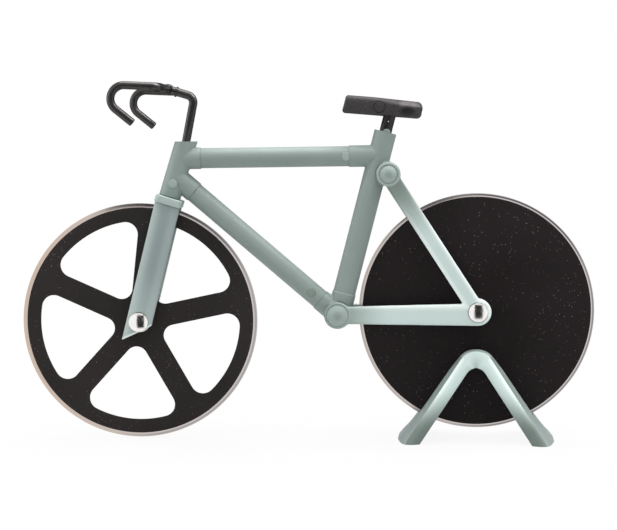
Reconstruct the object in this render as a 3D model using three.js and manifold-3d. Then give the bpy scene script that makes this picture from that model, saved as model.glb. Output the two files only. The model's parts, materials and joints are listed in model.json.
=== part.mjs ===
// Pizza cutter shaped like a bicycle: two steel disc blades for wheels, a frame of moulded tubes and lugs,
// a black drop handlebar and saddle, and a separate stand that holds the rear blade off the table.
//
// Sizes are in millimetres and angles in degrees. Everything is drawn in the side view, with x along the cutter
// (the front at -x), y up and z towards the near side, and the whole drawing is then turned to put +Z up.
import * as THREE from "three";
import { mergeVertices } from "three/addons/utils/BufferGeometryUtils.js";
import Module from "manifold-3d";

// Wheels: the front blade stands on the ground and the rear one is lifted by the stand
const WHEEL_DIAMETER = 95;
const WHEEL_BASE = 136.2;
const REAR_WHEEL_LIFT = 4.1;
const BLADE_THICKNESS = 1.2;
const BLADE_EDGE_THICKNESS = 0.3;
const BLADE_BEVEL = 1.8;
const SPOKE_COUNT = 5;
const SPOKE_WIDTH = 9.2;
const SPOKE_TURN = 12.5; // the first spoke, above the line towards the rear
const OPENING_RADIUS = 40.4;
const OPENING_HUB_FILLET = 4.5;
const OPENING_RIM_FILLET = 4.3;

// Axles: one rivet each, with a spacer on both sides of the blade
const AXLE_DIAMETER = 4;
const AXLE_HEAD_DIAMETER = 8;
const AXLE_HEAD_HEIGHT = 1.6;
const AXLE_HEAD_EDGE = 0.5;
const SPACER_DIAMETER = 9;

// Clearances
const RUNNING_CLEARANCE = 0.08; // round a shaft that turns in its hole
const FIT_CLEARANCE = 0.15; // round a peg that is fixed in its hole
const SIDE_PLAY = 0.15; // between faces stacked along an axle
const SEAM_GAP = 0.3; // where two mouldings meet end to end
const CROWN_CLEARANCE = 0.9; // from the front blade's edge to the fork crown
const SLOT_END_CLEARANCE = 0.35; // from the rear blade's edge to the bottom of the stand's slot
const SLOT_SIDE_CLEARANCE = 2; // on both sides of the rear blade, so that the stand may stand a little askew

// Head tube and fork
const HEAD_LEAN = 16.8;
const HEAD_TUBE_DIAMETER = 8.8;
const HEAD_TUBE_LENGTH = 23.1;
const AXLE_SETBACK = 2.8; // the front axle stands this far behind the head tube's axis
const CROWN_THICKNESS = 3;
const CROWN_LENGTH = 10.9;
const CROWN_OVERHANG = 0.5; // the crown past the legs, on the near and far sides
const CROWN_CORNER = 2;
const STEERER_DIAMETER = 5;
const STEERER_LENGTH = 9.5;
const FORK_LEAN = 13.2;
const FORK_GAP = 6.4; // between the two legs
const FORK_LEG_WIDTH = 10.1;
const FORK_LEG_THICKNESS = 4.5;
const FORK_LEG_BEVEL = 1.1;
const FORK_LEG_SETBACK = 0.4; // the leg's middle line behind the axle
const FORK_TIP_DROP = 8.8; // the front corner of the leg's end, below the axle along the leg
const FORK_TIP_SLANT = 25;
const LEG_PEG_DIAMETER = 3;
const LEG_PEG_LENGTH = 2;

// Frame tubes and lugs
const TUBE_DIAMETER = 8.1;
const TUBE_BORE = 5.4;
const STUB_DIAMETER = 8.7;
const SPIGOT_LENGTH = 9;
const SEAT_TUBE_DIAMETER = 9;
const SEAT_TUBE_LEAN = 14.24;
const SEAT_TUBE_LENGTH = 76; // from beside the bottom bracket's centre to its open top
const SEAT_TUBE_SETBACK = 0.6; // its axis behind the bottom bracket's centre
const SEAT_TUBE_SEAM = 9.2; // along the seat tube from the bottom bracket
const TOP_TUBE_AT_HEAD = 15.95; // along the head tube from its lower end
const TOP_TUBE_BELOW_TOP = 9.85; // along the seat tube from its open top
const TOP_TUBE_HEAD_STUB = 7.9;
const TOP_TUBE_SEAT_STUB = 12.3;
const DOWN_TUBE_AT_HEAD = 8.4; // along the head tube from its lower end
const DOWN_TUBE_HEAD_STUB = 9.7;
const DOWN_TUBE_BRACKET_STUB = 9;
const BRACKET_GAP = 8.8; // from the rear blade's edge to the bottom bracket's centre
const BRACKET_DROP = 1.4; // the bottom bracket below the rear axle
const BRACKET_DIAMETER = 10.7;
const EAR_DIAMETER = 9.8;
const EAR_BELOW_TOP = 16.1; // along the seat tube from its open top
const EAR_SETBACK = 5.1; // the ear's centre behind the seat tube's axis

// Cross pins: a flush round head on the near side and a thin shank through the joint
const PIN_DIAMETER = 3.6;
const PIN_HEAD_DEPTH = 1;
const PIN_HEAD_PROUD = 0.15;
const PIN_SHANK_DIAMETER = 1.6;
const PIN_SHANK_WALL = 0.5; // left between the shank's end and the far side
const HEAD_PIN_RISE = 5.4; // along the head tube from its lower end
const TOP_TUBE_PIN_INSET = 1.1; // from the seam with the seat tube's stub
const DOWN_TUBE_PIN_INSET = 4.8; // from the seam with the bottom bracket's stub

// Rear arms: flat plates on both sides, with bosses and domed caps
const REAR_ARM_GAP = 8.8; // between the two arms
const REAR_ARM_THICKNESS = 3.5;
const BOSS_PROUD = 0.4;
const AXLE_BOSS_DIAMETER = 10.9;
const SEAT_STAY_WIDTH = 6.4;
const CHAIN_STAY_RISE = 3.4; // the chain stay's upper edge above its middle line
const CHAIN_STAY_DROP = 3.4; // its lower edge below, at the bottom bracket
const BRACKET_CAP_DIAMETER = 8.7;
const SEAT_CAP_DIAMETER = 7.1;
const CAP_SEAT_DEPTH = 1;
const CAP_EDGE = 1.2;
const CAP_DOME = 0.9;
const CAP_SHANK_DIAMETER = 4;
const CAP_SHANK_GAP = 0.6; // between the ends of the near and far shanks

// Stem and handlebar
const STEM_DIAMETER = 3.4;
const STEM_LEAN = 10.7;
const STEM_INSERT = 11; // depth in the head tube
const STEM_RISE = 18.1; // from the head tube's top to the bend
const STEM_REACH = 11.1; // from the bend to the bar
const STEM_CLIMB = 16.5; // the forward run's slope
const STEM_BEND_RADIUS = 2.3;
const STEM_EYE_DIAMETER = 4.6;
const STEM_EYE_LENGTH = 5;
const BAR_DIAMETER = 3.25;
const BAR_SPREAD = 44; // between the middles of the two hooks
const BAR_SHOULDER_RADIUS = 4;
const BAR_REACH = 13.4; // from the middle of the bar to the start of the hook
const BAR_CLIMB = 2.5;
const HOOK_RADIUS = 5.25;
const HOOK_TURN = 144;
const HOOK_TAIL = 8.6;
const BAR_TURN = 5.3; // the bar's near side is turned forwards by this much

// Saddle and seat post
const SEAT_POST_DIAMETER = 4.6;
const SEAT_POST_INSERT = 13;
const SEAT_POST_RISE = 6.6; // from the seat tube's top to the saddle's underside
const SADDLE_LENGTH = 31.9;
const SADDLE_HEIGHT = 6.9;
const SADDLE_NOSE_WIDTH = 7.4;
const SADDLE_TAIL_WIDTH = 14.6;
const SADDLE_FLARE_START = 20; // from the tail
const SADDLE_FLARE_END = 4;
const SADDLE_END_ROUND = 2.6;
const SADDLE_SQUARENESS = 0.6; // 1 is an ellipse, and less is squarer
const SADDLE_TILT = 4.5;
const SADDLE_POST_INSET = 12.8; // from the tail to the seat post
const TANG_REACH = 8.4; // the plate on the seat post's top, forwards from the post
const TANG_HEIGHT = 4;
const TANG_THICKNESS = 3;
const TANG_RISE = 1.3; // above the saddle's underside
const SADDLE_PIN_DIAMETER = 5.2;
const SADDLE_PIN_DEPTH = 1.2;
const SADDLE_PIN_INSET = 16.6; // from the tail
const SADDLE_PIN_SINK = 0.1; // below the saddle's side

// Stand: an arch over the rear blade's lower half, with a slot that the blade stands in
const STAND_HEIGHT = 34.6;
const STAND_SPREAD = 34.2; // lean of each arm from upright
const STAND_ARM_THICKNESS = 4.2;
const STAND_APEX_RADIUS = 7.1; // outside
const STAND_APEX_EXTRA = 1.1; // the arch is thicker at its top
const STAND_TOP_DEPTH = 16;
const STAND_FOOT_DEPTH = 44;
const STAND_TOP_BULGE = 0.9; // how far the outside swells in the middle of its depth
const STAND_FOOT_BULGE = 4.3;
const STAND_TURN = 4.5; // its near side is turned forwards by this much

// Fineness of round surfaces
const RIM_SIDES = 96;
const TUBE_SIDES = 24;
const HOLE_SIDES = 24;
const ROD_SIDES = 12;
const DOME_STEPS = 3;
const STEM_STEPS = 24;
const BAR_STEPS = 84;
const SADDLE_AROUND = 20;
const SADDLE_STEPS = 8;
const END_STEPS = 3;
const STAND_STEPS = 10;
const STAND_ACROSS = 10;

// Longer than any piece, for cutting planes and through holes
const BEYOND = WHEEL_BASE + WHEEL_DIAMETER;

// Sizes that follow from the ones above
const wheelRadius = WHEEL_DIAMETER / 2;
const bladeHalf = BLADE_THICKNESS / 2;
const forkInside = FORK_GAP / 2;
const forkOutside = forkInside + FORK_LEG_THICKNESS;
const armInside = REAR_ARM_GAP / 2;
const armOutside = armInside + REAR_ARM_THICKNESS;
const lugHalf = armInside - SIDE_PLAY;
const spigotDiameter = TUBE_BORE - 2 * FIT_CLEARANCE;

const radians = THREE.MathUtils.degToRad;
const point = (x, y) => new THREE.Vector2(x, y);
const along = (start, direction, distance) => start.clone().addScaledVector(direction, distance);
const upright = (lean) => point(Math.sin(radians(lean)), Math.cos(radians(lean)));
const rearwards = (direction) => point(direction.y, -direction.x);

// Places in the side view
const frontAxle = point(-WHEEL_BASE / 2, wheelRadius);
const rearAxle = point(WHEEL_BASE / 2, wheelRadius + REAR_WHEEL_LIFT);

const headUp = upright(HEAD_LEAN);
const headLine = along(frontAxle, rearwards(headUp), -AXLE_SETBACK);
const crownBottom = wheelRadius + CROWN_CLEARANCE;
const headFoot = along(headLine, headUp, crownBottom + CROWN_THICKNESS + SEAM_GAP);
const headTop = along(headFoot, headUp, HEAD_TUBE_LENGTH);
const forkUp = upright(FORK_LEAN);
const legLine = along(frontAxle, rearwards(forkUp), FORK_LEG_SETBACK);
const legTop = along(legLine, forkUp, crownBottom / forkUp.dot(headUp));

const bracket = point(rearAxle.x - wheelRadius - BRACKET_GAP, rearAxle.y - BRACKET_DROP);
const seatUp = upright(SEAT_TUBE_LEAN);
const seatFoot = along(bracket, rearwards(seatUp), SEAT_TUBE_SETBACK);
const seatTop = along(seatFoot, seatUp, SEAT_TUBE_LENGTH);
const ear = along(along(seatTop, seatUp, -EAR_BELOW_TOP), rearwards(seatUp), EAR_SETBACK);

const topTubeFront = along(headFoot, headUp, TOP_TUBE_AT_HEAD);
const topTubeRear = along(seatTop, seatUp, -TOP_TUBE_BELOW_TOP);
const topTubeRun = topTubeRear.clone().sub(topTubeFront).normalize();
const downTubeFront = along(headFoot, headUp, DOWN_TUBE_AT_HEAD);
const downTubeRun = bracket.clone().sub(downTubeFront).normalize();

const headPin = along(headFoot, headUp, HEAD_PIN_RISE);
const topTubePin = along(topTubeRear, topTubeRun, -TOP_TUBE_SEAT_STUB - TOP_TUBE_PIN_INSET);
const downTubePin = along(bracket, downTubeRun, -DOWN_TUBE_BRACKET_STUB - DOWN_TUBE_PIN_INSET);

const stemUp = upright(STEM_LEAN);
const stemFoot = along(headTop, stemUp, -STEM_INSERT);

// Finishes
const finish = (color, roughness, metalness) => () =>
  new THREE.MeshStandardMaterial({ color, roughness, metalness });
const coatedSteel = finish(0x231f20, 0.5, 0.3);
const polishedSteel = finish(0xd8d8d8, 0.15, 1);
const whiteNylon = finish(0xe8e6e0, 0.5, 0);
const framePlastic = finish(0x97a69e, 0.6, 0);
const palePlastic = finish(0xb4c6c0, 0.6, 0);
const standPlastic = finish(0xb9c9c2, 0.55, 0);
const blackRod = finish(0x3b3838, 0.35, 0.1);
const saddlePlastic = finish(0x474343, 0.7, 0);

// Joining and cutting closed geometries
const wasm = await Module();
wasm.setup();

function solidOf(geometry) {
  const bare = geometry.clone();
  bare.deleteAttribute("normal");
  bare.deleteAttribute("uv");
  const merged = mergeVertices(bare, 1e-4);
  const vertProperties = new Float32Array(merged.attributes.position.array);
  const triVerts = new Uint32Array(merged.index.array);
  return new wasm.Manifold(new wasm.Mesh({ numProp: 3, vertProperties, triVerts }));
}

function geometryOf(solid) {
  const { vertProperties, triVerts } = solid.getMesh();
  const geometry = new THREE.BufferGeometry();
  geometry.setAttribute("position", new THREE.BufferAttribute(vertProperties, 3));
  geometry.setIndex(new THREE.BufferAttribute(triVerts, 1));
  geometry.computeVertexNormals();
  return geometry;
}

const asSolid = (shape) => (shape.isBufferGeometry ? solidOf(shape) : shape);
const join = (...shapes) => shapes.map(asSolid).reduce((whole, next) => whole.add(next));
const cut = (shape, ...tools) => tools.map(asSolid).reduce((rest, tool) => rest.subtract(tool), asSolid(shape));

// A round rod between two points of the side view, in the middle of the cutter
function rod(from, to, diameter, sides = TUBE_SIDES) {
  const run = to.clone().sub(from);
  const geometry = new THREE.CylinderGeometry(diameter / 2, diameter / 2, run.length(), sides);
  geometry.rotateZ(run.angle() - Math.PI / 2);
  return geometry.translate((from.x + to.x) / 2, (from.y + to.y) / 2, 0);
}

// A round disc or hole across the cutter, between two depths
function disc(centre, diameter, depthA, depthB, sides = HOLE_SIDES) {
  const geometry = new THREE.CylinderGeometry(diameter / 2, diameter / 2, Math.abs(depthB - depthA), sides);
  geometry.rotateX(Math.PI / 2);
  return geometry.translate(centre.x, centre.y, (depthA + depthB) / 2);
}

// A flat plate with an outline in the side view, between two depths
function plate(outline, depthA, depthB, bevel = 0) {
  const geometry = new THREE.ExtrudeGeometry(outline, {
    depth: Math.abs(depthB - depthA) - 2 * bevel,
    curveSegments: HOLE_SIDES / 4,
    bevelEnabled: bevel > 0,
    bevelSize: bevel,
    bevelThickness: bevel,
    bevelOffset: -bevel,
    bevelSegments: 2,
  });
  return geometry.translate(0, 0, Math.min(depthA, depthB) + bevel);
}

// A straight bar whose two ends differ: each end has a middle point and the reach of its edges to both sides
function taperedBar(from, to, fromEdges, toEdges, depthA, depthB) {
  const across = rearwards(to.clone().sub(from).normalize());
  const corners = [
    along(from, across, fromEdges.right),
    along(to, across, toEdges.right),
    along(to, across, -toEdges.left),
    along(from, across, -fromEdges.left),
  ];
  return plate(new THREE.Shape(corners), depthA, depthB);
}

// Everything on one side of a line in the side view: below is the side to the right of the line's direction
function halfSpace(onLine, direction) {
  const away = rearwards(direction);
  const corners = [
    along(onLine, direction, -BEYOND),
    along(onLine, direction, BEYOND),
    along(along(onLine, direction, BEYOND), away, BEYOND),
    along(along(onLine, direction, -BEYOND), away, BEYOND),
  ];
  return plate(new THREE.Shape(corners), -BEYOND, BEYOND);
}

// A turned piece with its axis along z, from a list of [radius, z] that runs up the outside
function turned(profile, sides = TUBE_SIDES) {
  const points = profile.map(([radius, height]) => point(radius, height));
  return new THREE.LatheGeometry(points, sides).rotateX(Math.PI / 2);
}

// The points of a dome over a rim, ending on the axis
function dome(radius, base, height) {
  const points = [];
  for (let step = 0; step <= DOME_STEPS; step += 1) {
    const angle = (Math.PI / 2) * (step / DOME_STEPS);
    const onAxis = step === DOME_STEPS;
    points.push([onAxis ? 0 : radius * Math.cos(angle), base + height * Math.sin(angle)]);
  }
  return points;
}

// A closed skin through rings of points, with both ends closed by fans
function loft(rings) {
  const count = rings[0].length;
  const positions = [];
  rings.flat().forEach((p) => positions.push(p.x, p.y, p.z));
  const index = [];
  for (let row = 0; row + 1 < rings.length; row += 1) {
    for (let column = 0; column < count; column += 1) {
      const a = row * count + column;
      const b = row * count + ((column + 1) % count);
      index.push(a, b, a + count);
      index.push(b, b + count, a + count);
    }
  }
  for (const [row, first] of [[0, true], [rings.length - 1, false]]) {
    const middle = positions.length / 3;
    const centre = new THREE.Vector3();
    rings[row].forEach((p) => centre.addScaledVector(p, 1 / count));
    positions.push(centre.x, centre.y, centre.z);
    for (let column = 0; column < count; column += 1) {
      const a = row * count + column;
      const b = row * count + ((column + 1) % count);
      index.push(middle, first ? b : a, first ? a : b);
    }
  }
  const geometry = new THREE.BufferGeometry();
  geometry.setAttribute("position", new THREE.Float32BufferAttribute(positions, 3));
  geometry.setIndex(index);
  return geometry;
}

// A curve through corners that are rounded by arcs, for bent rods
class BentPath extends THREE.CurvePath {
  constructor(corners, radii) {
    super();
    let start = corners[0];
    for (let i = 1; i + 1 < corners.length; i += 1) {
      const before = corners[i - 1].clone().sub(corners[i]).normalize();
      const after = corners[i + 1].clone().sub(corners[i]).normalize();
      const half = before.angleTo(after) / 2;
      const setback = radii[i - 1] / Math.tan(half);
      const arc = new BendArc(corners[i], before, after, radii[i - 1], half);
      this.add(new THREE.LineCurve3(start, corners[i].clone().addScaledVector(before, setback)));
      this.add(arc);
      start = corners[i].clone().addScaledVector(after, setback);
    }
    this.add(new THREE.LineCurve3(start, corners[corners.length - 1]));
  }
}

// The arc that rounds one corner of a bent rod
class BendArc extends THREE.Curve {
  constructor(corner, before, after, radius, half) {
    super();
    const inwards = before.clone().add(after).normalize();
    this.centre = corner.clone().addScaledVector(inwards, radius / Math.sin(half));
    this.outwards = inwards.clone().negate();
    this.sideways = after.clone().sub(before).normalize();
    this.radius = radius;
    this.sweep = Math.PI - 2 * half;
  }

  getPoint(t, target = new THREE.Vector3()) {
    const angle = (t - 0.5) * this.sweep;
    target.copy(this.centre);
    target.addScaledVector(this.outwards, this.radius * Math.cos(angle));
    return target.addScaledVector(this.sideways, this.radius * Math.sin(angle));
  }
}

// A round rod along a bent path
function bentRod(path, diameter, steps) {
  const section = new THREE.Shape();
  section.absarc(0, 0, diameter / 2, 0, 2 * Math.PI);
  const curveSegments = ROD_SIDES / 2; // counted per half turn
  return new THREE.ExtrudeGeometry(section, { steps, curveSegments, extrudePath: path });
}

// Blades: turned discs with a bevelled edge and a hole for the axle
function bladeDisc() {
  const hole = AXLE_DIAMETER / 2 + RUNNING_CLEARANCE;
  const profile = [
    [hole, -bladeHalf],
    [wheelRadius - BLADE_BEVEL, -bladeHalf],
    [wheelRadius, -BLADE_EDGE_THICKNESS / 2],
    [wheelRadius, BLADE_EDGE_THICKNESS / 2],
    [wheelRadius - BLADE_BEVEL, bladeHalf],
    [hole, bladeHalf],
    [hole, -bladeHalf],
  ];
  return turned(profile, RIM_SIDES);
}

// One opening between two spokes, drawn with its middle line along x
function spokeOpening() {
  const halfAngle = Math.PI / SPOKE_COUNT;
  const edge = SPOKE_WIDTH / 2;
  const tangent = halfAngle + Math.PI / 2;
  const hubCentre = (edge + OPENING_HUB_FILLET) / Math.sin(halfAngle);
  const cornerReach = OPENING_RADIUS - OPENING_RIM_FILLET;
  const corner = halfAngle - Math.asin((edge + OPENING_RIM_FILLET) / cornerReach);
  const cornerX = cornerReach * Math.cos(corner);
  const cornerY = cornerReach * Math.sin(corner);
  const outline = new THREE.Shape();
  outline.absarc(hubCentre, 0, OPENING_HUB_FILLET, tangent, 2 * Math.PI - tangent);
  outline.absarc(cornerX, -cornerY, OPENING_RIM_FILLET, -tangent, -corner);
  outline.absarc(0, 0, OPENING_RADIUS, -corner, corner);
  outline.absarc(cornerX, cornerY, OPENING_RIM_FILLET, corner, tangent);
  return plate(outline, -BLADE_THICKNESS, BLADE_THICKNESS);
}

function spokedBlade() {
  const opening = spokeOpening();
  let blade = bladeDisc();
  for (let i = 0; i < SPOKE_COUNT; i += 1) {
    const turn = SPOKE_TURN + (360 / SPOKE_COUNT) * (i + 0.5);
    blade = cut(blade, opening.clone().rotateZ(radians(turn)));
  }
  return blade;
}

// An axle rivet whose domed heads stand just off the faces that it clamps
function axleRivet(clampedHalf) {
  const seat = clampedHalf + SIDE_PLAY;
  const rim = AXLE_HEAD_DIAMETER / 2;
  const shank = AXLE_DIAMETER / 2;
  const head = dome(rim, seat + AXLE_HEAD_EDGE, AXLE_HEAD_HEIGHT - AXLE_HEAD_EDGE);
  const nearHalf = [[shank, seat], [rim, seat], ...head];
  const farHalf = nearHalf.map(([radius, height]) => [radius, -height]).reverse();
  return turned([...farHalf, ...nearHalf]);
}

// A spacer ring that fills the room between a blade and what carries it
function spacer(inside) {
  const hole = AXLE_DIAMETER / 2 + FIT_CLEARANCE;
  const outer = SPACER_DIAMETER / 2;
  const inner = bladeHalf + SIDE_PLAY;
  const end = inside - SIDE_PLAY;
  return turned([[hole, inner], [outer, inner], [outer, end], [hole, end], [hole, inner]]);
}

// A cross pin with its head at the near face of a tube, and the hole that it sits in
function crossPin(tubeDiameter, clearance) {
  const face = tubeDiameter / 2 + PIN_HEAD_PROUD;
  const seat = face - PIN_HEAD_DEPTH - clearance;
  const head = PIN_DIAMETER / 2 + clearance;
  const shank = PIN_SHANK_DIAMETER / 2 + clearance;
  const end = -tubeDiameter / 2 + PIN_SHANK_WALL - clearance;
  const top = face + clearance;
  return turned([[0, end], [shank, end], [shank, seat], [head, seat], [head, top], [0, top]]);
}

const pinHole = (centre, tubeDiameter) =>
  crossPin(tubeDiameter, FIT_CLEARANCE).translate(centre.x, centre.y, 0);

// A domed cap whose head sits in a boss and whose shank runs into the lug
function bossCap(diameter) {
  const rim = diameter / 2;
  const seat = armOutside + BOSS_PROUD - CAP_SEAT_DEPTH + SIDE_PLAY;
  const shank = CAP_SHANK_DIAMETER / 2;
  const end = CAP_SHANK_GAP / 2;
  return turned([[0, end], [shank, end], [shank, seat], [rim, seat], ...dome(rim, seat + CAP_EDGE, CAP_DOME)]);
}

// Head tube with a flat top, stubs and spigots for two tubes, and bores for the stem, the steerer and the pin
function headLug() {
  const top = along(headTop, headUp, HEAD_TUBE_DIAMETER);
  const tube = cut(rod(headFoot, top, HEAD_TUBE_DIAMETER), halfSpace(headTop, point(-1, 0)));
  const topStub = along(topTubeFront, topTubeRun, TOP_TUBE_HEAD_STUB);
  const downStub = along(downTubeFront, downTubeRun, DOWN_TUBE_HEAD_STUB);
  const body = join(
    tube,
    rod(topTubeFront, topStub, STUB_DIAMETER),
    rod(topStub, along(topStub, topTubeRun, SPIGOT_LENGTH), spigotDiameter),
    rod(downTubeFront, downStub, STUB_DIAMETER),
    rod(downStub, along(downStub, downTubeRun, SPIGOT_LENGTH), spigotDiameter),
  );
  const stemEnd = along(stemFoot, stemUp, -SEAM_GAP);
  const stemHole = rod(stemEnd, along(headTop, stemUp, STEM_RISE), STEM_DIAMETER + 2 * RUNNING_CLEARANCE);
  const steererBore = rod(
    along(headFoot, headUp, -SEAM_GAP),
    along(headFoot, headUp, STEERER_LENGTH),
    STEERER_DIAMETER + 2 * FIT_CLEARANCE,
  );
  return cut(body, stemHole, steererBore, pinHole(headPin, HEAD_TUBE_DIAMETER));
}

// A hollow tube that fits over the spigots of the lugs at its two ends
function frameTube(from, to, pin) {
  const run = to.clone().sub(from).normalize();
  const start = along(from, run, SEAM_GAP);
  const end = along(to, run, -SEAM_GAP);
  const bore = rod(along(start, run, -SEAM_GAP), along(end, run, SEAM_GAP), TUBE_BORE);
  return cut(rod(start, end, TUBE_DIAMETER), bore, pinHole(pin, TUBE_DIAMETER));
}

// Flat faces beside a lug, where the bosses of the two rear arms lie against it
const armFaces = (centre, diameter) =>
  [1, -1].map((side) => disc(centre, diameter + 2 * SEAM_GAP, side * lugHalf, side * BEYOND));

// The seat tube, with the top tube's stub, the ear that carries the rear arms, and sockets at both ends
function seatTube() {
  const foot = along(seatFoot, seatUp, SEAT_TUBE_SEAM + SEAM_GAP);
  const topStub = along(topTubeRear, topTubeRun, -TOP_TUBE_SEAT_STUB);
  const body = join(
    rod(foot, seatTop, SEAT_TUBE_DIAMETER),
    rod(topTubeRear, topStub, STUB_DIAMETER),
    rod(topStub, along(topStub, topTubeRun, -SPIGOT_LENGTH), spigotDiameter),
    disc(ear, EAR_DIAMETER, -armInside, armInside),
  );
  const socket = rod(along(foot, seatUp, -SEAM_GAP), along(foot, seatUp, SPIGOT_LENGTH), TUBE_BORE);
  const postBore = rod(
    along(seatTop, seatUp, -SEAT_POST_INSERT - SEAM_GAP),
    along(seatTop, seatUp, SEAT_POST_RISE),
    SEAT_POST_DIAMETER + 2 * FIT_CLEARANCE,
  );
  const capBore = disc(ear, CAP_SHANK_DIAMETER + 2 * FIT_CLEARANCE, -BEYOND, BEYOND);
  const faces = armFaces(ear, EAR_DIAMETER);
  return cut(body, socket, postBore, capBore, ...faces, pinHole(topTubePin, TUBE_DIAMETER));
}

// Bottom bracket lug with the stubs and spigots of the seat tube and the down tube
function bottomBracket() {
  const seatStub = along(seatFoot, seatUp, SEAT_TUBE_SEAM);
  const downStub = along(bracket, downTubeRun, -DOWN_TUBE_BRACKET_STUB);
  const body = join(
    disc(bracket, BRACKET_DIAMETER, -armInside, armInside),
    rod(seatFoot, seatStub, SEAT_TUBE_DIAMETER),
    rod(seatStub, along(seatStub, seatUp, SPIGOT_LENGTH), spigotDiameter),
    rod(bracket, downStub, STUB_DIAMETER),
    rod(downStub, along(downStub, downTubeRun, -SPIGOT_LENGTH), spigotDiameter),
  );
  const capBore = disc(bracket, CAP_SHANK_DIAMETER + 2 * FIT_CLEARANCE, -BEYOND, BEYOND);
  const faces = armFaces(bracket, BRACKET_DIAMETER);
  return cut(body, ...faces, capBore, pinHole(downTubePin, TUBE_DIAMETER));
}

// The pegs on top of the legs, which stand in the crown
function legPeg(side, clearance) {
  const depth = side * (forkInside + FORK_LEG_THICKNESS / 2);
  const peg = rod(
    along(legTop, headUp, -LEG_PEG_LENGTH),
    along(legTop, headUp, LEG_PEG_LENGTH + clearance),
    LEG_PEG_DIAMETER + 2 * clearance,
  );
  return peg.translate(0, 0, depth);
}

// Fork crown: a rounded collar across the cutter, with the steerer that goes up into the head tube
function forkCrown() {
  const halfLength = CROWN_LENGTH / 2;
  const halfWidth = forkOutside + CROWN_OVERHANG;
  const corner = CROWN_CORNER;
  const plan = new THREE.Shape();
  plan.absarc(halfLength - corner, halfWidth - corner, corner, 0, Math.PI / 2);
  plan.absarc(corner - halfLength, halfWidth - corner, corner, Math.PI / 2, Math.PI);
  plan.absarc(corner - halfLength, corner - halfWidth, corner, Math.PI, 1.5 * Math.PI);
  plan.absarc(halfLength - corner, corner - halfWidth, corner, 1.5 * Math.PI, 2 * Math.PI);
  const geometry = new THREE.ExtrudeGeometry(plan, {
    depth: CROWN_THICKNESS,
    curveSegments: HOLE_SIDES / 8,
    bevelEnabled: false,
  });
  geometry.rotateX(-Math.PI / 2);
  geometry.rotateZ(-radians(HEAD_LEAN));
  geometry.translate(legTop.x, legTop.y, 0);
  const steererFoot = along(headFoot, headUp, -SEAM_GAP - CROWN_THICKNESS / 2);
  const steererTop = along(headFoot, headUp, STEERER_LENGTH - SEAM_GAP);
  const body = join(geometry, rod(steererFoot, steererTop, STEERER_DIAMETER));
  const pegHoles = [1, -1].map((side) => legPeg(side, FIT_CLEARANCE));
  return cut(body, ...pegHoles, pinHole(headPin, HEAD_TUBE_DIAMETER));
}

// Fork leg: a bevelled blade of plastic with a slanting, pointed end, on the near (1) or far (-1) side
function forkLeg(side) {
  const backwards = rearwards(forkUp);
  const half = FORK_LEG_WIDTH / 2;
  const front = along(legLine, backwards, -half);
  const rear = along(legLine, backwards, half);
  const tip = along(front, forkUp, -FORK_TIP_DROP);
  const slant = radians(FORK_TIP_SLANT);
  const heelRise = FORK_LEG_WIDTH * Math.tan(slant + radians(FORK_LEAN));
  const heel = along(rear, forkUp, heelRise - FORK_TIP_DROP);
  const outline = new THREE.Shape([
    tip,
    heel,
    along(rear, forkUp, crownBottom + CROWN_THICKNESS),
    along(front, forkUp, crownBottom + CROWN_THICKNESS),
  ]);
  const blade = plate(outline, side * forkInside, side * forkOutside, FORK_LEG_BEVEL);
  const shoulder = along(legTop, headUp, -SEAM_GAP);
  const cropped = cut(blade, halfSpace(shoulder, rearwards(headUp).negate()));
  const axleHole = disc(frontAxle, AXLE_DIAMETER + 2 * FIT_CLEARANCE, -BEYOND, BEYOND);
  return cut(join(cropped, legPeg(side, 0)), axleHole);
}

// Rear arm: seat stay and chain stay in one plate, with bosses at the ear, the bottom bracket and the axle
function rearArm(side) {
  const inside = side * armInside;
  const outside = side * armOutside;
  const proud = side * (armOutside + BOSS_PROUD);
  const stayHalf = { left: SEAT_STAY_WIDTH / 2, right: SEAT_STAY_WIDTH / 2 };
  const chainAtBracket = { left: CHAIN_STAY_RISE, right: CHAIN_STAY_DROP };
  const chainAtAxle = { left: CHAIN_STAY_RISE, right: AXLE_BOSS_DIAMETER / 2 };
  const body = join(
    taperedBar(ear, rearAxle, stayHalf, stayHalf, inside, outside),
    taperedBar(bracket, rearAxle, chainAtBracket, chainAtAxle, inside, outside),
    disc(rearAxle, AXLE_BOSS_DIAMETER, inside, outside),
    disc(ear, EAR_DIAMETER, inside, proud),
    disc(bracket, BRACKET_DIAMETER, inside, proud),
  );
  const capSeat = side * (armOutside + BOSS_PROUD - CAP_SEAT_DEPTH);
  const capHole = CAP_SHANK_DIAMETER + 2 * FIT_CLEARANCE;
  return cut(
    body,
    disc(rearAxle, AXLE_DIAMETER + 2 * FIT_CLEARANCE, -BEYOND, BEYOND),
    disc(ear, capHole, -BEYOND, BEYOND),
    disc(ear, SEAT_CAP_DIAMETER + 2 * FIT_CLEARANCE, capSeat, side * BEYOND),
    disc(bracket, capHole, -BEYOND, BEYOND),
    disc(bracket, BRACKET_CAP_DIAMETER + 2 * FIT_CLEARANCE, capSeat, side * BEYOND),
  );
}

// Stem and bar share a frame with its origin on the stem's axis at the head tube's top and y up the stem
const barTilt = radians(STEM_LEAN);
const stemForwards = point(-Math.cos(radians(STEM_CLIMB) - barTilt), Math.sin(radians(STEM_CLIMB) - barTilt));
const stemBend = point(0, STEM_RISE);
const barMiddle = along(stemBend, stemForwards, STEM_REACH);
const inDepth = (flat, depth) => new THREE.Vector3(flat.x, flat.y, depth);

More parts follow.
